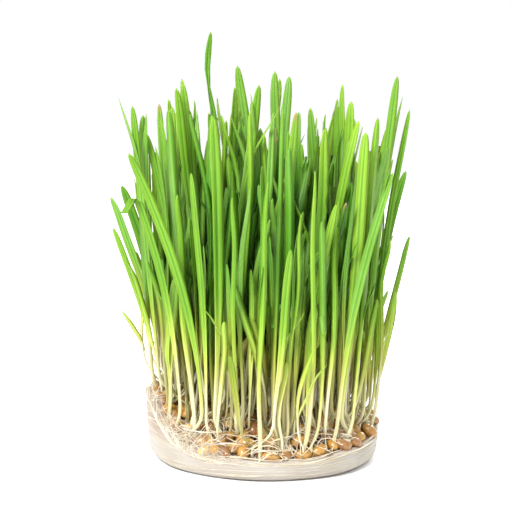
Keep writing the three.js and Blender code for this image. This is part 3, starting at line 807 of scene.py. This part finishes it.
OUTER_NOD = 0.3
WHITE_ABOVE_BED = (2, 34, 9)
GREEN_BY = (76, 102)
# How strongly painted shade darkens the tone of blades inside the stand, and the heights over which it
# fades out.
SHADE_TONE = 0.55
SHADE_FROM = 98
SHADE_DEEP = 50
RIB_SHARPNESS = 3
RIB_FROM = 0.3
ROSY_SHARE = 0.008
ROSY_FOOT = (-18, -20)
ROSY_WITHIN = 3
ROSY_STRENGTH = 0.75
DRY_SHARE = 0.035
DRY_FROM = 0.965
DRY_WITHIN = 0.02
DRYNESS = 0.6
BENT_SHARE = 0.03
BENT_FROM = 0.86
BENT_DOWN = 20
BENT_OUT = 5
TALLEST_FROM = 175
TALLEST_NOD = (-0.7, 0, 0)
TALLEST_TONE = 0.5
TALLEST_NARROWS = (0.62, 0.84, 0.06)
TALLEST_BOWS = (3.2, 0.89, 0.11)
STEM_COLOURS = [
    (0.0, "e2d8c8"), (0.08, "e2d8b8"), (0.2, "d6d48c"), (0.38, "bacc5c"), (0.66, "9fc444"),
    (1.0, "90ba3d"),
]
# The blades' own greens; the darkest end is painted shade for blades deep inside the stand.
BLADE_GREENS_AND_STAND_SHADE = [
    (0.0, "a0c649"), (0.13, "91bc40"), (0.26, "79ab32"), (0.35, "8ab85f"), (0.47, "66a02f"),
    (0.63, "46801e"), (0.8, "285810"), (1.0, "183b08"),
]
# Painted shade, multiplied onto the stems: near white for the outer ones, near black deep inside the stand.
PAINTED_STAND_SHADE = [
    (0.0, "fff8da"), (0.15, "fefdf8"), (0.38, "ece8ca"), (0.52, "a9a674"), (0.7, "59592f"),
    (1.0, "2b2e15"),
]
# Painted highlight along the blade's edges and painted shade along its midrib.
EDGE_HIGHLIGHT_AND_RIB_SHADE = [(0.0, "ffffff"), (0.035, "e2ebc2"), (0.18, "d9e4b8"), (0.22, "b2c68a")]
VEIN_GREEN = "b5c58f"
VEINS_ROUND = 20.0
VEIN_LENGTH = 0.06
CLOUD_GREEN = "dfe8c8"
CLOUD_MM = 16.7
ROSY_BROWN = "c9805c"
DRY_BROWN = "8a8046"

# Young leaf is satin and lets some light in. It is yellow-white where it was covered and fresh green
# in the light, with pale veins. Painted shade darkens it inside the stand and along its midrib, and
# a painted highlight lightens its edges.
leaf, tree, surface = new_material("young wheat leaf")
tint = add_node(tree, "Attribute", attribute_name="tint")
growth = add_node(tree, "Attribute", attribute_name="growth")
seam = add_node(tree, "UVMap", uv_map="UVMap")
lengthwise = add_node(tree, "Mapping", {"Vector": (seam, "UV"), "Scale": (1, VEIN_LENGTH, 1)})
veins = add_node(tree, "TexNoise", {"Vector": (lengthwise, "Vector"), "Scale": VEINS_ROUND, "Detail": 3.0})
apart = add_node(tree, "SeparateXYZ", {"Vector": (seam, "UV")})
from_edge = add_node(tree, "Math", {0: (apart, "X"), 1: 0.25}, operation="PINGPONG")
spot = add_node(tree, "TexCoord")
clouds = add_node(tree, "TexNoise", {"Vector": (spot, "Object"), "Scale": 1 / (CLOUD_MM * MM),
                                     "Detail": 2.0})
stem_colour = add_node(tree, "ValToRGB", {"Fac": (growth, "Fac")}, STEM_COLOURS)
blade_green_and_shade = add_node(tree, "ValToRGB", {"Fac": (tint, "Fac")}, BLADE_GREENS_AND_STAND_SHADE)
opened = add_node(tree, "MapRange", {"Value": (growth, "Fac"), "From Min": 0.3, "From Max": 0.95},
                  interpolation_type="SMOOTHSTEP")
# Painted shade inside the stand, laid over the stems' colour.
stand_shade_colour = add_node(tree, "ValToRGB", {"Fac": (tint, "Fac")}, PAINTED_STAND_SHADE)
stem_with_stand_shade = add_node(tree, "Mix", {"Factor": 1.0, "A": (stem_colour, "Color"),
                                       "B": (stand_shade_colour, "Color")}, **WASHED)
mixed = add_node(tree, "Mix", {"Factor": (opened, "Result"), "A": (stem_with_stand_shade, "Result"),
                               "B": (blade_green_and_shade, "Color")}, **BLENDED)
vein_shade = add_node(tree, "ValToRGB", {"Fac": (veins, "Fac")}, [(0.38, VEIN_GREEN), (0.58, "ffffff")])
veined = add_node(tree, "Mix", {"Factor": 0.75, "A": (mixed, "Result"), "B": (vein_shade, "Color")},
                  **WASHED)
# Painted highlight at the edges and painted shade at the midrib, across each opened blade.
edge_light_rib_shade = add_node(tree, "ValToRGB", {"Fac": (from_edge, "Value")}, EDGE_HIGHLIGHT_AND_RIB_SHADE)
edge_lit_rib_shaded = add_node(tree, "Mix", {"Factor": (opened, "Result"), "A": (veined, "Result"),
                               "B": (edge_light_rib_shade, "Color")}, **WASHED)
cloud_shade = add_node(tree, "ValToRGB", {"Fac": (clouds, "Fac")}, [(0.35, CLOUD_GREEN), (0.6, "ffffff")])
clouded = add_node(tree, "Mix", {"Factor": 0.6, "A": (edge_lit_rib_shaded, "Result"), "B": (cloud_shade, "Color")},
                   **WASHED)
rosy = add_node(tree, "Attribute", attribute_name="rosy")
blushed = add_node(tree, "Mix", {"Factor": (rosy, "Fac"), "A": (clouded, "Result"),
                                 "B": linear(ROSY_BROWN)}, **BLENDED)
dried = add_node(tree, "MapRange", {"Value": (growth, "Fac"), "From Min": 1.0, "From Max": 1.5})
tipped = add_node(tree, "Mix", {"Factor": (dried, "Result"), "A": (blushed, "Result"),
                                "B": linear(DRY_BROWN)}, **BLENDED)
ridges = add_node(tree, "Bump", {"Height": (veins, "Fac"), "Strength": 0.35, "Distance": 0.15 * MM})
set_sockets(tree, surface, {
    "Base Color": (tipped, "Result"), "Normal": (ridges, "Normal"), "Roughness": 0.42,
    "Specular IOR Level": 0.3, "Subsurface Weight": 0.15, "Subsurface Radius": (0.9, 1.0, 0.25),
    "Subsurface Scale": 1.0 * MM,
})


def past(share, start):
    """How far shares have gone from a start to the tip, eased from 0 to 1."""
    return ease((share - start) / (1 - start))


def bump_along(share, most, middle, spread):
    """A soft bump of a given height, place and spread along a blade."""
    return most * np.exp(-(((share - middle) / spread) ** 2))


def add_blade(bm, blade, material_index):
    """Adds a shoot or a leaf as one closed skin of rings along its middle."""
    growth_layer, tint_layer, rosy_layer = (bm.verts.layers.float[name] for name in PLANT_LAYERS)
    uv_layer = bm.loops.layers.uv["UVMap"]
    share = np.array(BLADE_STEPS)
    if blade["leaf"]:
        shares, widths, depths, folds = LEAF_SHARES, LEAF_WIDTHS, LEAF_DEPTHS, LEAF_FOLDS
    else:
        shares, widths, depths, folds = SHOOT_SHARES, SHOOT_WIDTHS, SHOOT_DEPTHS, SHOOT_FOLDS
    width = np.interp(share, shares, widths) * blade["width"]
    depth = np.interp(share, shares, depths) * blade["width"]
    fold = np.interp(share, shares, folds) * blade["width"] * chance.uniform(*FOLD_SCATTER)
    middle = blade_middle(blade, share)
    rise = middle[:, 2] - middle[0, 2]
    if not blade["leaf"]:
        hook = chance.uniform(*(HOOK_WIDE if chance.random() < HOOK_WIDE_SHARE else HOOK_SMALL))
        heading = chance.choice((0, math.pi)) + chance.gauss(0, HOOK_SCATTER)
        out, angle = from_middle(middle[0])
        if out + hook * math.cos(heading - angle) > SPIRAL_RADIUS:
            heading = angle + math.pi + chance.uniform(-1, 1)
        bent = np.clip(1 - (rise - HOOK_ABOVE) / HOOK_RISE, 0, 1) ** HOOK_BEND * hook
        middle[:, 0] += math.cos(heading) * bent
        middle[:, 1] += math.sin(heading) * bent
        ground = bed_height(*from_middle(middle[0])) - ROOTED_BELOW_BED
        middle[:, 2] -= np.clip(1 - rise / HOOK_ABOVE, 0, 1) * max(0, middle[0, 2] - ground)
    turn = blade["facing"] + blade["twist"] * share
    turn += chance.uniform(-TURN_MOST, TURN_MOST) * past(share, TURN_FROM)
    side = np.stack([np.cos(turn), np.sin(turn), 0 * turn], -1)
    back = np.stack([-np.sin(turn), np.cos(turn), 0 * turn], -1)
    sway = SWAY * chance.uniform(0.3, 1)
    sway = sway * np.sin(share * chance.uniform(*SWAY_WAVES) + chance.uniform(0, TURN))
    middle += back * (sway * ease(share / 0.3) * ease((1.1 - share) / 0.3))[:, None]
    nod = back[-1] * chance.uniform(-NOD, NOD) + side[-1] * chance.uniform(-LEAN, LEAN)
    if from_middle(middle[-1])[0] > OUTER_TIP:
        nod *= OUTER_NOD
    if blade["tip"] > TALLEST_FROM:
        nod = np.array(TALLEST_NOD)
    middle += np.outer(past(share, NOD_FROM) ** 2, nod)
    # Painted shade: blades whose feet are near the middle get a darker tone below SHADE_FROM, as if shaded
    # by the stand.
    inner = 1 - min(1, from_middle(middle[0])[0] / SPIRAL_RADIUS)
    shade = inner * (1 - ease((middle[:, 2] - SHADE_FROM) / SHADE_DEEP))
    tone = chance.random() * (1 - SHADE_TONE) + shade * SHADE_TONE
    start = bed_height(*from_middle(middle[0])) + chance.triangular(*WHITE_ABOVE_BED)
    green = np.clip((middle[:, 2] - start) / (chance.uniform(*GREEN_BY) - start), 0, 1)
    if chance.random() < DRY_SHARE:
        green += DRYNESS * ease((share - DRY_FROM) / DRY_WITHIN)
    blush = chance.random() < ROSY_SHARE or math.dist(blade["foot"][:2], ROSY_FOOT) < ROSY_WITHIN
    rosy = ROSY_STRENGTH * blush * (1 - ease((share - 0.08) / 0.14))
    if blade["tip"] > TALLEST_FROM:
        width *= 1 - bump_along(share, *TALLEST_NARROWS)
        middle[:, 0] -= bump_along(share, *TALLEST_BOWS)
        tone[:] = TALLEST_TONE
    if chance.random() < BENT_SHARE:
        over = past(share, BENT_FROM)
        middle[:, 2] -= over * BENT_DOWN
        middle += back * (over * chance.choice((-BENT_OUT, BENT_OUT)))[:, None]
    sharp = 1 + RIB_SHARPNESS * ease((share - RIB_FROM) / RIB_FROM)
    steps = len(share) - 1
    made = bmesh.ops.create_grid(bm, x_segments=BLADE_SIDES, y_segments=steps, size=0.5)
    for vert in made["verts"]:
        around = (vert.co.x + 0.5) * TURN
        k = round((vert.co.y + 0.5) * steps)
        across = math.copysign(abs(math.cos(around)) ** sharp[k], math.cos(around)) / 2
        through = math.sin(around) / 2 * depth[k] - (abs(across) * 2 - 0.5) * fold[k]
        for loop in vert.link_loops:
            loop[uv_layer].uv = (vert.co.x + 0.5, k / steps)
        vert[growth_layer] = green[k]
        vert[tint_layer] = tone[k]
        vert[rosy_layer] = rosy[k]
        vert.co = Vector(middle[k] + side[k] * across * width[k] + back[k] * through) * MM
    for face in {face for vert in made["verts"] for face in vert.link_faces}:
        face.material_index = material_index


for number, handful in enumerate(handfuls, 1):
    bm = new_plant_mesh()
    for grain in handful["grains"]:
        add_grain(bm, grain, 1)
    for blade in handful["blades"]:
        add_blade(bm, blade, 0)
    close_skin(bm)
    piece = finish_piece(f"handful_{number}", bm, leaf, bran)
    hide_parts(f"seedlings_{number}")


# The sunk grains have sprouted too. Their shoots are slimmer and mostly shorter, and close the
# stand between the others.
SLIM_SHOOTS = 230
SLIM_TRIES = 9
INNER_SHOOTS = 280
INNER_RADIUS = 38
OUTER_RADIUS = 32
OUTER_SHARE = 0.6
SLIM_LOW = (48, 108)
SLIM_HIGH = (108, 150)
SLIM_HIGH_SHARE = 0.34
SLIM_NARROW = 2.4
SLIM_BROAD = 4
SLIM_WANDER = 19
SLIM_SCATTER = 0.4
SLIM_SQUEEZE = 0.6
SLIM_PIECES = 4

outer_grains = [grain for grain in sunk_grains if from_middle(grain[0])[0] > OUTER_RADIUS]
slim_shoots = []
for k in range(SLIM_SHOOTS + INNER_SHOOTS):
    inner = k >= SLIM_SHOOTS
    for _ in range(SLIM_TRIES):
        grain = chance.choice(outer_grains if chance.random() < OUTER_SHARE else sunk_grains)
        foot = grain[0] + grain[1][1] * chance.uniform(-GERM_REACH, GERM_REACH) * GRAIN_HALF[1]
        if inner:
            out, angle = INNER_RADIUS * math.sqrt(chance.random()), chance.uniform(0, TURN)
            foot = np.array([*round_the_pad(out, angle), bed_height(out, angle)])
        tip = chance.uniform(*(SLIM_HIGH if chance.random() < SLIM_HIGH_SHARE else SLIM_LOW))
        spread = FLARE * tip / TIP_HIGH
        shoot = {
            "foot": foot, "tip": tip, "width": chance.uniform(SLIM_NARROW, SLIM_BROAD),
            "drift": tuple(foot[i] * spread + chance.gauss(0, SLIM_SCATTER) * SLIM_WANDER for i in (0, 1)),
            "bow": (chance.uniform(-BOW, BOW), chance.uniform(-BOW, BOW)),
            "facing": chance.uniform(0, TURN), "twist": chance.uniform(-TWIST, TWIST), **SHOOT_FORM,
        }
        out, angle = from_middle(foot[:2] + np.array(shoot["drift"]))
        if out > bed_edge(angle) * (1 + spread):
            continue
        if inner:
            slim_shoots.append(shoot)
            break
        slices, here = slice_blade(shoot)
        slices[4] *= SLIM_SQUEEZE
        if blades_clear(slices, here):
            plant(shoot, {"blades": slim_shoots}, slices, here)
            break

for number in range(SLIM_PIECES):
    bm = new_plant_mesh()
    for shoot in slim_shoots[number::SLIM_PIECES]:
        add_blade(bm, shoot, 0)
    close_skin(bm)
    finish_piece(f"slim_shoots_{number + 1}", bm, leaf)


# Roots that still circle in the wall, pressed into it by the tub. Like all loose roots here they
# are moist and pale, and a little light goes into them.
ROOT_WHITE = "cfc5b2"
ROOT_OLD = "c3b69d"
ROOT_AGE_MM = 7.14
CIRCLING_ROOTS = 260
CIRCLING_RADIUS = (0.07, 0.2)
CIRCLING_TURN = (0.35, 1.3)
CIRCLING_HEIGHT = (1.2, 30)
CIRCLING_SLOPE = 2.2
CIRCLING_WAVE = 0.5
CIRCLING_WAVES = 5
CIRCLING_STEPS = 23
CIRCLING_LOWEST = 0.8
CIRCLING_BELOW_RIM = 0.3
CIRCLING_SUNK = 0.02
FEWEST_POINTS = 5

root_skin, tree, surface = new_material("fresh wheat roots")
spot = add_node(tree, "TexCoord")
age = add_node(tree, "TexNoise", {"Vector": (spot, "Object"), "Scale": 1 / (ROOT_AGE_MM * MM),
                                  "Detail": 2.0})
pale = add_node(tree, "ValToRGB", {"Fac": (age, "Fac")}, [(0.38, ROOT_OLD), (0.56, ROOT_WHITE)])
set_sockets(tree, surface, {
    "Base Color": (pale, "Color"), "Roughness": 0.4, "Subsurface Weight": 0.3,
    "Subsurface Radius": (1.0, 0.9, 0.7), "Subsurface Scale": 0.6 * MM,
})


def strands_piece(name, strands, material):
    """One mesh of thin tubes, tapered at their ends, from (points in millimetres, radius) pairs."""
    curve = bpy.data.curves.new(name, "CURVE")
    curve.dimensions = "3D"
    curve.bevel_depth = 1
    curve.bevel_resolution = 0
    curve.use_fill_caps = True
    for points, radius in strands:
        spline = curve.splines.new("POLY")
        spline.points.add(len(points) - 1)
        for k, point in enumerate(points):
            taper = min(1, 0.3 + 2 * min(k, len(points) - 1 - k) / len(points))
            spline.points[k].co = (*(Vector(point) * MM), 1)
            spline.points[k].radius = radius * taper * MM
    holder = bpy.data.objects.new(name + "_curve", curve)
    bpy.context.scene.collection.objects.link(holder)
    mesh = bpy.data.meshes.new_from_object(holder.evaluated_get(bpy.context.evaluated_depsgraph_get()))
    bpy.data.objects.remove(holder)
    mesh.materials.clear()
    return finish_piece(name, mesh, material)


strands = []
for _ in range(CIRCLING_ROOTS):
    start = chance.uniform(0, TURN)
    length = chance.uniform(*CIRCLING_TURN)
    height = chance.uniform(*CIRCLING_HEIGHT)
    slope = chance.gauss(0, CIRCLING_SLOPE)
    phase = chance.uniform(0, TURN)
    points = []
    for k in range(CIRCLING_STEPS + 1):
        angle = start + length * k / CIRCLING_STEPS
        wave = CIRCLING_WAVE * math.sin(phase + CIRCLING_WAVES * angle)
        z = height + slope * k / CIRCLING_STEPS + wave
        if CIRCLING_LOWEST < z < rim_height(angle) - CIRCLING_BELOW_RIM:
            out = wall_radius(angle, z) - CIRCLING_SUNK
            if z < EDGE_ROUND:
                edge = wall_radius(angle, EDGE_ROUND) - UNDERSIDE_RADIUS
                out = UNDERSIDE_RADIUS + edge * math.sqrt(1 - (1 - z / EDGE_ROUND) ** 2)
            points.append((*round_the_pad(out, angle), z))
        elif len(points) >= FEWEST_POINTS:
            break
        else:
            points = []
    if len(points) >= FEWEST_POINTS:
        strands.append((points, chance.uniform(*CIRCLING_RADIUS)))
strands_piece("circling_roots", strands, root_skin)


# Loose roots: white threads that leave the grains, wander over their neighbours like slack
# string and sink in the felt or hang over the rim. In front one grain has sent out a star.
WANDERING_ROOTS = 22
WANDERING_RADIUS = (0.12, 0.24)
WANDERING_LENGTH = (12, 34)
WANDERING_ANGLES = (185, 355)
WANDERING_IN_FRONT = 0.7
BOLD_ROOTS = 10
BOLD_RADIUS = (0.22, 0.36)
BOLD_LENGTH = (18, 42)
BOLD_ANGLES = (238, 312)
STAR_AT = (6.2, -46.8)
STAR_HEADINGS = (196, 222, 243, 262, 284, 305, 326, 352, 14)
STAR_LENGTH = (7, 15)
STAR_RADIUS = (0.24, 0.4)
ROOT_STEP = 1.1
ROOT_CURL = 0.1
ROOT_CURL_STIR = 0.05
ROOT_CURL_KEPT = 0.93
ROOT_OVER_RIM = 0.4
ROOT_DROOP = 0.35
ROOT_LOWEST = 2.5
ROOT_ENDS_SUNK = 1
SLACK_ROUNDS = 40

GRAIN_CENTRES = np.stack([grain[0] for grain in all_grains + sunk_grains])
GRAIN_SHAPES = np.stack([grain[1] / GRAIN_HALF[:, None] for grain in all_grains + sunk_grains])


def ground_height(x, y):
    """Height of what lies on top at each point: the felt, or a grain."""
    x, y = np.asarray(x, float), np.asarray(y, float)
    felt_top = bed_height(np.hypot(x, y), np.arctan2(y, x))
    flat = np.stack([x[:, None] - GRAIN_CENTRES[:, 0], y[:, None] - GRAIN_CENTRES[:, 1]], -1)
    level = np.einsum("pgj,gij->pgi", flat, GRAIN_SHAPES[:, :, :2])
    rise = GRAIN_SHAPES[:, :, 2]
    a = np.sum(rise * rise, -1)
    b = np.einsum("pgi,gi->pg", level, rise)
    c = np.sum(level * level, -1) - 1
    inside = b * b - a * c
    top = GRAIN_CENTRES[:, 2] + (-b + np.sqrt(np.maximum(inside, 0))) / a
    return np.maximum(felt_top, np.where(inside > 0, top, -1e3).max(-1))


def wandering_root(start, heading, length, radius):
    """A root that crawls over felt and grains, and past the rim lies on the wall."""
    out, angle = from_middle(start)
    turn = heading - angle
    curl = chance.uniform(-ROOT_CURL, ROOT_CURL)
    xs, ys, lowest = [], [], []
    for _ in range(int(length / ROOT_STEP)):
        edge = bed_edge(angle) - 0.2
        rim = rim_height(angle)
        over = out - edge - RIM_WIDTH - ROOT_OVER_RIM
        if out < edge:
            at = out
            lowest.append(None)
        elif over < 0:
            at = out
            lowest.append(rim + radius * 0.5)
        else:
            at = wall_radius(angle, rim - over) + radius * 0.2
            lowest.append(rim - over)
            turn += (math.copysign(math.pi / 2, math.sin(turn)) - turn) * ROOT_DROOP
        if lowest[-1] is not None and lowest[-1] < ROOT_LOWEST:
            lowest.pop()
            break
        x, y = round_the_pad(at, angle)
        xs.append(x)
        ys.append(y)
        curl = (curl + chance.uniform(-ROOT_CURL_STIR, ROOT_CURL_STIR)) * ROOT_CURL_KEPT
        turn += curl
        out += math.cos(turn) * ROOT_STEP
        step = math.sin(turn) * ROOT_STEP / max(out, 4)
        angle += step
        turn -= step
    if len(xs) < FEWEST_POINTS:
        return []
    z = ground_height(xs, ys) + radius * 0.7
    z = np.array([ground if low is None else low for ground, low in zip(z, lowest)])
    slack = z.copy()
    for _ in range(SLACK_ROUNDS):
        slack[1:-1] = (slack[:-2] + slack[2:] + slack[1:-1]) / 3
        slack = np.where([low is None for low in lowest], np.maximum(slack, z), slack)
    slack[0] -= ROOT_ENDS_SUNK
    if lowest[-1] is None:
        slack[-1] -= ROOT_ENDS_SUNK
    return [(list(zip(xs, ys, slack.tolist())), radius)]


strands = []
for k in range(WANDERING_ROOTS + BOLD_ROOTS):
    bold = k >= WANDERING_ROOTS
    in_front = chance.random() < WANDERING_IN_FRONT
    angle = chance.uniform(*WANDERING_ANGLES) * DEGREE if in_front else chance.uniform(0, TURN)
    if bold:
        angle = chance.uniform(*BOLD_ANGLES) * DEGREE
    out = bed_edge(angle) * math.sqrt(chance.uniform(0.5 if bold else 0.3, 0.95))
    heading = angle + chance.gauss(0, 1.2)
    length = chance.uniform(*(BOLD_LENGTH if bold else WANDERING_LENGTH))
    radius = chance.uniform(*(BOLD_RADIUS if bold else WANDERING_RADIUS))
    strands += wandering_root(round_the_pad(out, angle), heading, length, radius)
for degrees in STAR_HEADINGS:
    length = chance.uniform(*STAR_LENGTH)
    strands += wandering_root(STAR_AT, degrees * DEGREE, length, chance.uniform(*STAR_RADIUS))
strands_piece("wandering_roots", strands, root_skin)


# Over the grains in front, roots span from one to the next in long slack arcs. They are white
# roots like the others, which grew through the damp air and sank their ends in the felt.
ARC_ROOTS = 90
ARC_ANGLES = (225, 318)
ARC_OUT = (0.62, 1)
ARC_SPAN = (7, 30)
ARC_SCATTER = 0.75
ARC_SAG = 0.7
ARC_LIFT = (0.5, 5)
ARC_SUNK = 0.6
ARC_ENDS_SUNK = 1.2
ARC_RADIUS = (0.16, 0.34)
ARC_STEPS = 22
ARC_ROUNDS = 16

strands = []
for _ in range(ARC_ROOTS):
    angle, out = chance.uniform(*ARC_ANGLES) * DEGREE, math.sqrt(chance.uniform(*ARC_OUT))
    span = chance.uniform(*ARC_SPAN)
    heading = chance.gauss(0, ARC_SCATTER) + chance.choice((0, math.pi))
    first = bed_edge(angle) * out * np.array([math.cos(angle), math.sin(angle)])
    last = first + span * np.array([math.cos(heading), math.sin(heading)])
    far, angle = from_middle(last)
    last = last / max(1, far / (bed_edge(angle) - 0.5))
    sag = chance.uniform(-ARC_SAG, ARC_SAG) * span * np.array([-math.sin(heading), math.cos(heading)])
    t = np.linspace(0, 1, ARC_STEPS)[:, None]
    flat = first * (1 - t) + last * t + sag * t * (1 - t) * 2
    edge = bed_edge(np.arctan2(flat[:, 1], flat[:, 0])) - 0.3
    flat *= np.minimum(1, edge / np.hypot(flat[:, 0], flat[:, 1]))[:, None]
    radius = chance.uniform(*ARC_RADIUS)
    ground = ground_height(flat[:, 0], flat[:, 1]) + radius
    chord = ground[0] + (ground[-1] - ground[0]) * t[:, 0]
    z = np.maximum(chord + chance.uniform(*ARC_LIFT) * 4 * (t * (1 - t))[:, 0] - ARC_SUNK, ground)
    for _ in range(ARC_ROUNDS):
        z[1:-1] = (z[:-2] + z[1:-1] + z[2:]) / 3
    z[0] -= ARC_ENDS_SUNK
    z[-1] -= ARC_ENDS_SUNK
    strands.append((np.column_stack([flat, z]).tolist(), radius))
strands_piece("arching_roots", strands, root_skin)


# Along the rim the torn wall frays into roots that run level, some proud of it and some sagging
# down its face. They are still joined to the felt at both ends.
RIM_ROOTS = 70
RIM_ROOT_RADIUS = (0.14, 0.36)
RIM_ROOT_ABOVE = (-1.6, 1.5)
RIM_ROOT_STEPS = (10, 34)
RIM_ROOT_WAVE = 0.7
RIM_ROOT_WAVES = 4.5

strands = []
for _ in range(RIM_ROOTS):
    angle = chance.uniform(0, TURN)
    above = chance.uniform(*RIM_ROOT_ABOVE)
    phase = chance.uniform(0, TURN)
    inset = chance.uniform(-0.1, RIM_WIDTH + 1)
    points = []
    for _ in range(int(chance.uniform(*RIM_ROOT_STEPS))):
        rim = rim_height(angle)
        lift = above + RIM_ROOT_WAVE * math.sin(phase + RIM_ROOT_WAVES * angle)
        out = wall_radius(angle, rim) - inset if lift > 0.1 else wall_radius(angle, rim + lift) + 0.05
        points.append((*round_the_pad(out, angle), rim + min(lift, 1.6 - 0.4 * inset)))
        angle += ROOT_STEP / WALL_RADIUS
    strands.append((points, chance.uniform(*RIM_ROOT_RADIUS)))
strands_piece("rim_roots", strands, root_skin)


# At the left the torn wall thins out into a milky film of root hairs that leans inwards on the
# grains, with fine threads in it. It is still one with the wall at its foot.
FILM_ANGLES = (165, 262)
FILM_SIDES = 110
FILM_RINGS = 16
FILM_RISE = 10
FILM_BELOW_RIM = 2
FILM_THICKNESS = 0.12
FILM_FADE = 1.3
FILM_ENDS = (0.15, 0.3)
FILM_WEB_MM = 6.25
FILM_MILK = "c3b6a4"
FILM_SHADE = "b5a48e"
FILM_ROOTS = 120
FILM_ROOT_RADIUS = (0.06, 0.14)
FILM_ROOT_STEPS = (8, 22)
FILM_ROOT_ABOVE = (-2, 8)
FILM_ROOT_SLANT = (0.1, 1.3)
FILM_ROOT_BEND = 0.17
FILM_ROOT_LOWEST = -3
FILM_MIDDLE = 225

hairs, tree, surface = new_material("film of root hairs")
spot = add_node(tree, "TexCoord")
thin = add_node(tree, "Attribute", attribute_name="thin")
web = add_node(tree, "TexNoise", {"Vector": (spot, "Object"), "Scale": 1 / (FILM_WEB_MM * MM),
                                  "Detail": 3.0, "Roughness": 0.5, "Distortion": 0.4})
cover = add_node(tree, "MapRange", {"Value": (web, "Fac"), "From Min": 0.36, "From Max": 0.66,
                                    "To Min": 0.3, "To Max": 0.8})
fading = add_node(tree, "Math", {0: (cover, "Result"), 1: (thin, "Fac")}, operation="MULTIPLY")
milk = add_node(tree, "ValToRGB", {"Fac": (web, "Fac")}, [(0.35, FILM_SHADE), (0.6, FILM_MILK)])
set_sockets(tree, surface, {
    "Base Color": (milk, "Color"), "Alpha": (fading, "Value"), "Roughness": 0.5,
})


def film_point(angle, above_rim):
    """A place on the film, which follows the wall and then leans in over the grains."""
    rim = rim_height(angle)
    over = max(0, above_rim)
    out = wall_radius(angle, min(rim + above_rim, rim)) + 0.1 - 0.15 * over - 0.02 * over * over
    return *round_the_pad(out, angle), rim + above_rim


film = bmesh.new()
thin_layer = film.verts.layers.float.new("thin")
grid = bmesh.ops.create_grid(film, x_segments=FILM_SIDES, y_segments=FILM_RINGS, size=0.5)
for vert in grid["verts"]:
    along, rise = vert.co.x + 0.5, vert.co.y + 0.5
    angle = (FILM_ANGLES[0] + (FILM_ANGLES[1] - FILM_ANGLES[0]) * along) * DEGREE
    ends = ease(along / FILM_ENDS[0]) * ease((1 - along) / FILM_ENDS[1])
    torn = 0.75 + 0.35 * noise.noise(Vector((angle * 6, 0, 0)))
    above = (FILM_RISE * torn + FILM_BELOW_RIM) * rise - FILM_BELOW_RIM
    vert.co = Vector(film_point(angle, above)) * MM
    vert[thin_layer] = ends * (1 - rise) ** FILM_FADE * ease((rise + 0.02) / 0.1)
bmesh.ops.recalc_face_normals(film, faces=film.faces)
bmesh.ops.solidify(film, geom=film.faces, thickness=FILM_THICKNESS * MM)
finish_piece("root_film", film, hairs)

strands = []
for _ in range(FILM_ROOTS):
    angle = chance.triangular(*FILM_ANGLES, FILM_MIDDLE) * DEGREE
    slant = chance.choice((-1, 1)) * chance.uniform(*FILM_ROOT_SLANT)
    above = chance.uniform(*FILM_ROOT_ABOVE)
    bend = chance.uniform(-FILM_ROOT_BEND, FILM_ROOT_BEND)
    points = []
    for _ in range(int(chance.uniform(*FILM_ROOT_STEPS))):
        points.append(film_point(angle, above))
        slant += bend
        above += math.sin(slant) * ROOT_STEP
        angle += math.cos(slant) * ROOT_STEP / WALL_RADIUS
        if not FILM_ROOT_LOWEST < above < FILM_RISE:
            break
    if len(points) >= FEWEST_POINTS:
        strands.append((points, chance.uniform(*FILM_ROOT_RADIUS)))
strands_piece("film_threads", strands, root_skin)


# The floor is plain and pale. One soft box stands in front at the left, a weaker one hangs
# overhead, and a third stands behind at the right, so that the back isn't dull.
FLOOR_HALF = 3.0
FLOOR_COLOUR = "f8f9fa"
LIGHTS = [
    ("key", (-0.65, -1.25, 1.2), 0.6, 46.0), ("top", (0.0, 0.2, 1.8), 1.2, 6.0),
    ("back", (0.7, 1.3, 0.9), 1.0, 18.0),
]
LIT_AT = (0, 0, 0.08)

paper, tree, surface = new_material("matt white paper")
set_sockets(tree, surface, {"Base Color": linear(FLOOR_COLOUR), "Roughness": 0.9})
floor = bmesh.new()
bmesh.ops.create_grid(floor, x_segments=1, y_segments=1, size=FLOOR_HALF)
floor_mesh = bpy.data.meshes.new("floor")
floor.to_mesh(floor_mesh)
floor.free()
floor_mesh.materials.append(paper)
floor_piece = bpy.data.objects.new("floor", floor_mesh)
bpy.context.scene.collection.objects.link(floor_piece)

scene = bpy.context.scene
scene.view_settings.view_transform = "Standard"
world = bpy.data.worlds.new("studio")
world.use_nodes = True
sky = world.node_tree.nodes["Background"]
set_sockets(world.node_tree, sky, {"Color": (1, 1, 1, 1), "Strength": 1.0})
scene.world = world
for name, at, size, power in LIGHTS:
    light = bpy.data.lights.new(name, "AREA")
    light.shape = "DISK"
    light.size = size
    light.energy = power
    lamp = bpy.data.objects.new(name, light)
    lamp.location = at
    lamp.rotation_euler = (Vector(LIT_AT) - Vector(at)).to_track_quat("-Z", "Y").to_euler()
    scene.collection.objects.link(lamp)


# The camera stands as far off and as high as the photograph's perspective says, and is rolled a
# little, because the pad leans to one side in it.
CAMERA_AT = Vector((-4.3, -670, 165)) * MM
CAMERA_TO = Vector((-4.3, 0, 87)) * MM
CAMERA_LENS = 110.5
CAMERA_ROLL = 1.2 * DEGREE

lens = bpy.data.cameras.new("camera")
lens.lens = CAMERA_LENS
lens.sensor_width = 36
camera = bpy.data.objects.new("camera", lens)
camera.location = CAMERA_AT
camera.rotation_euler = (CAMERA_TO - CAMERA_AT).to_track_quat("-Z", "Y").to_euler()
camera.rotation_euler.rotate_axis("Z", CAMERA_ROLL)
scene.collection.objects.link(camera)
scene.camera = camera
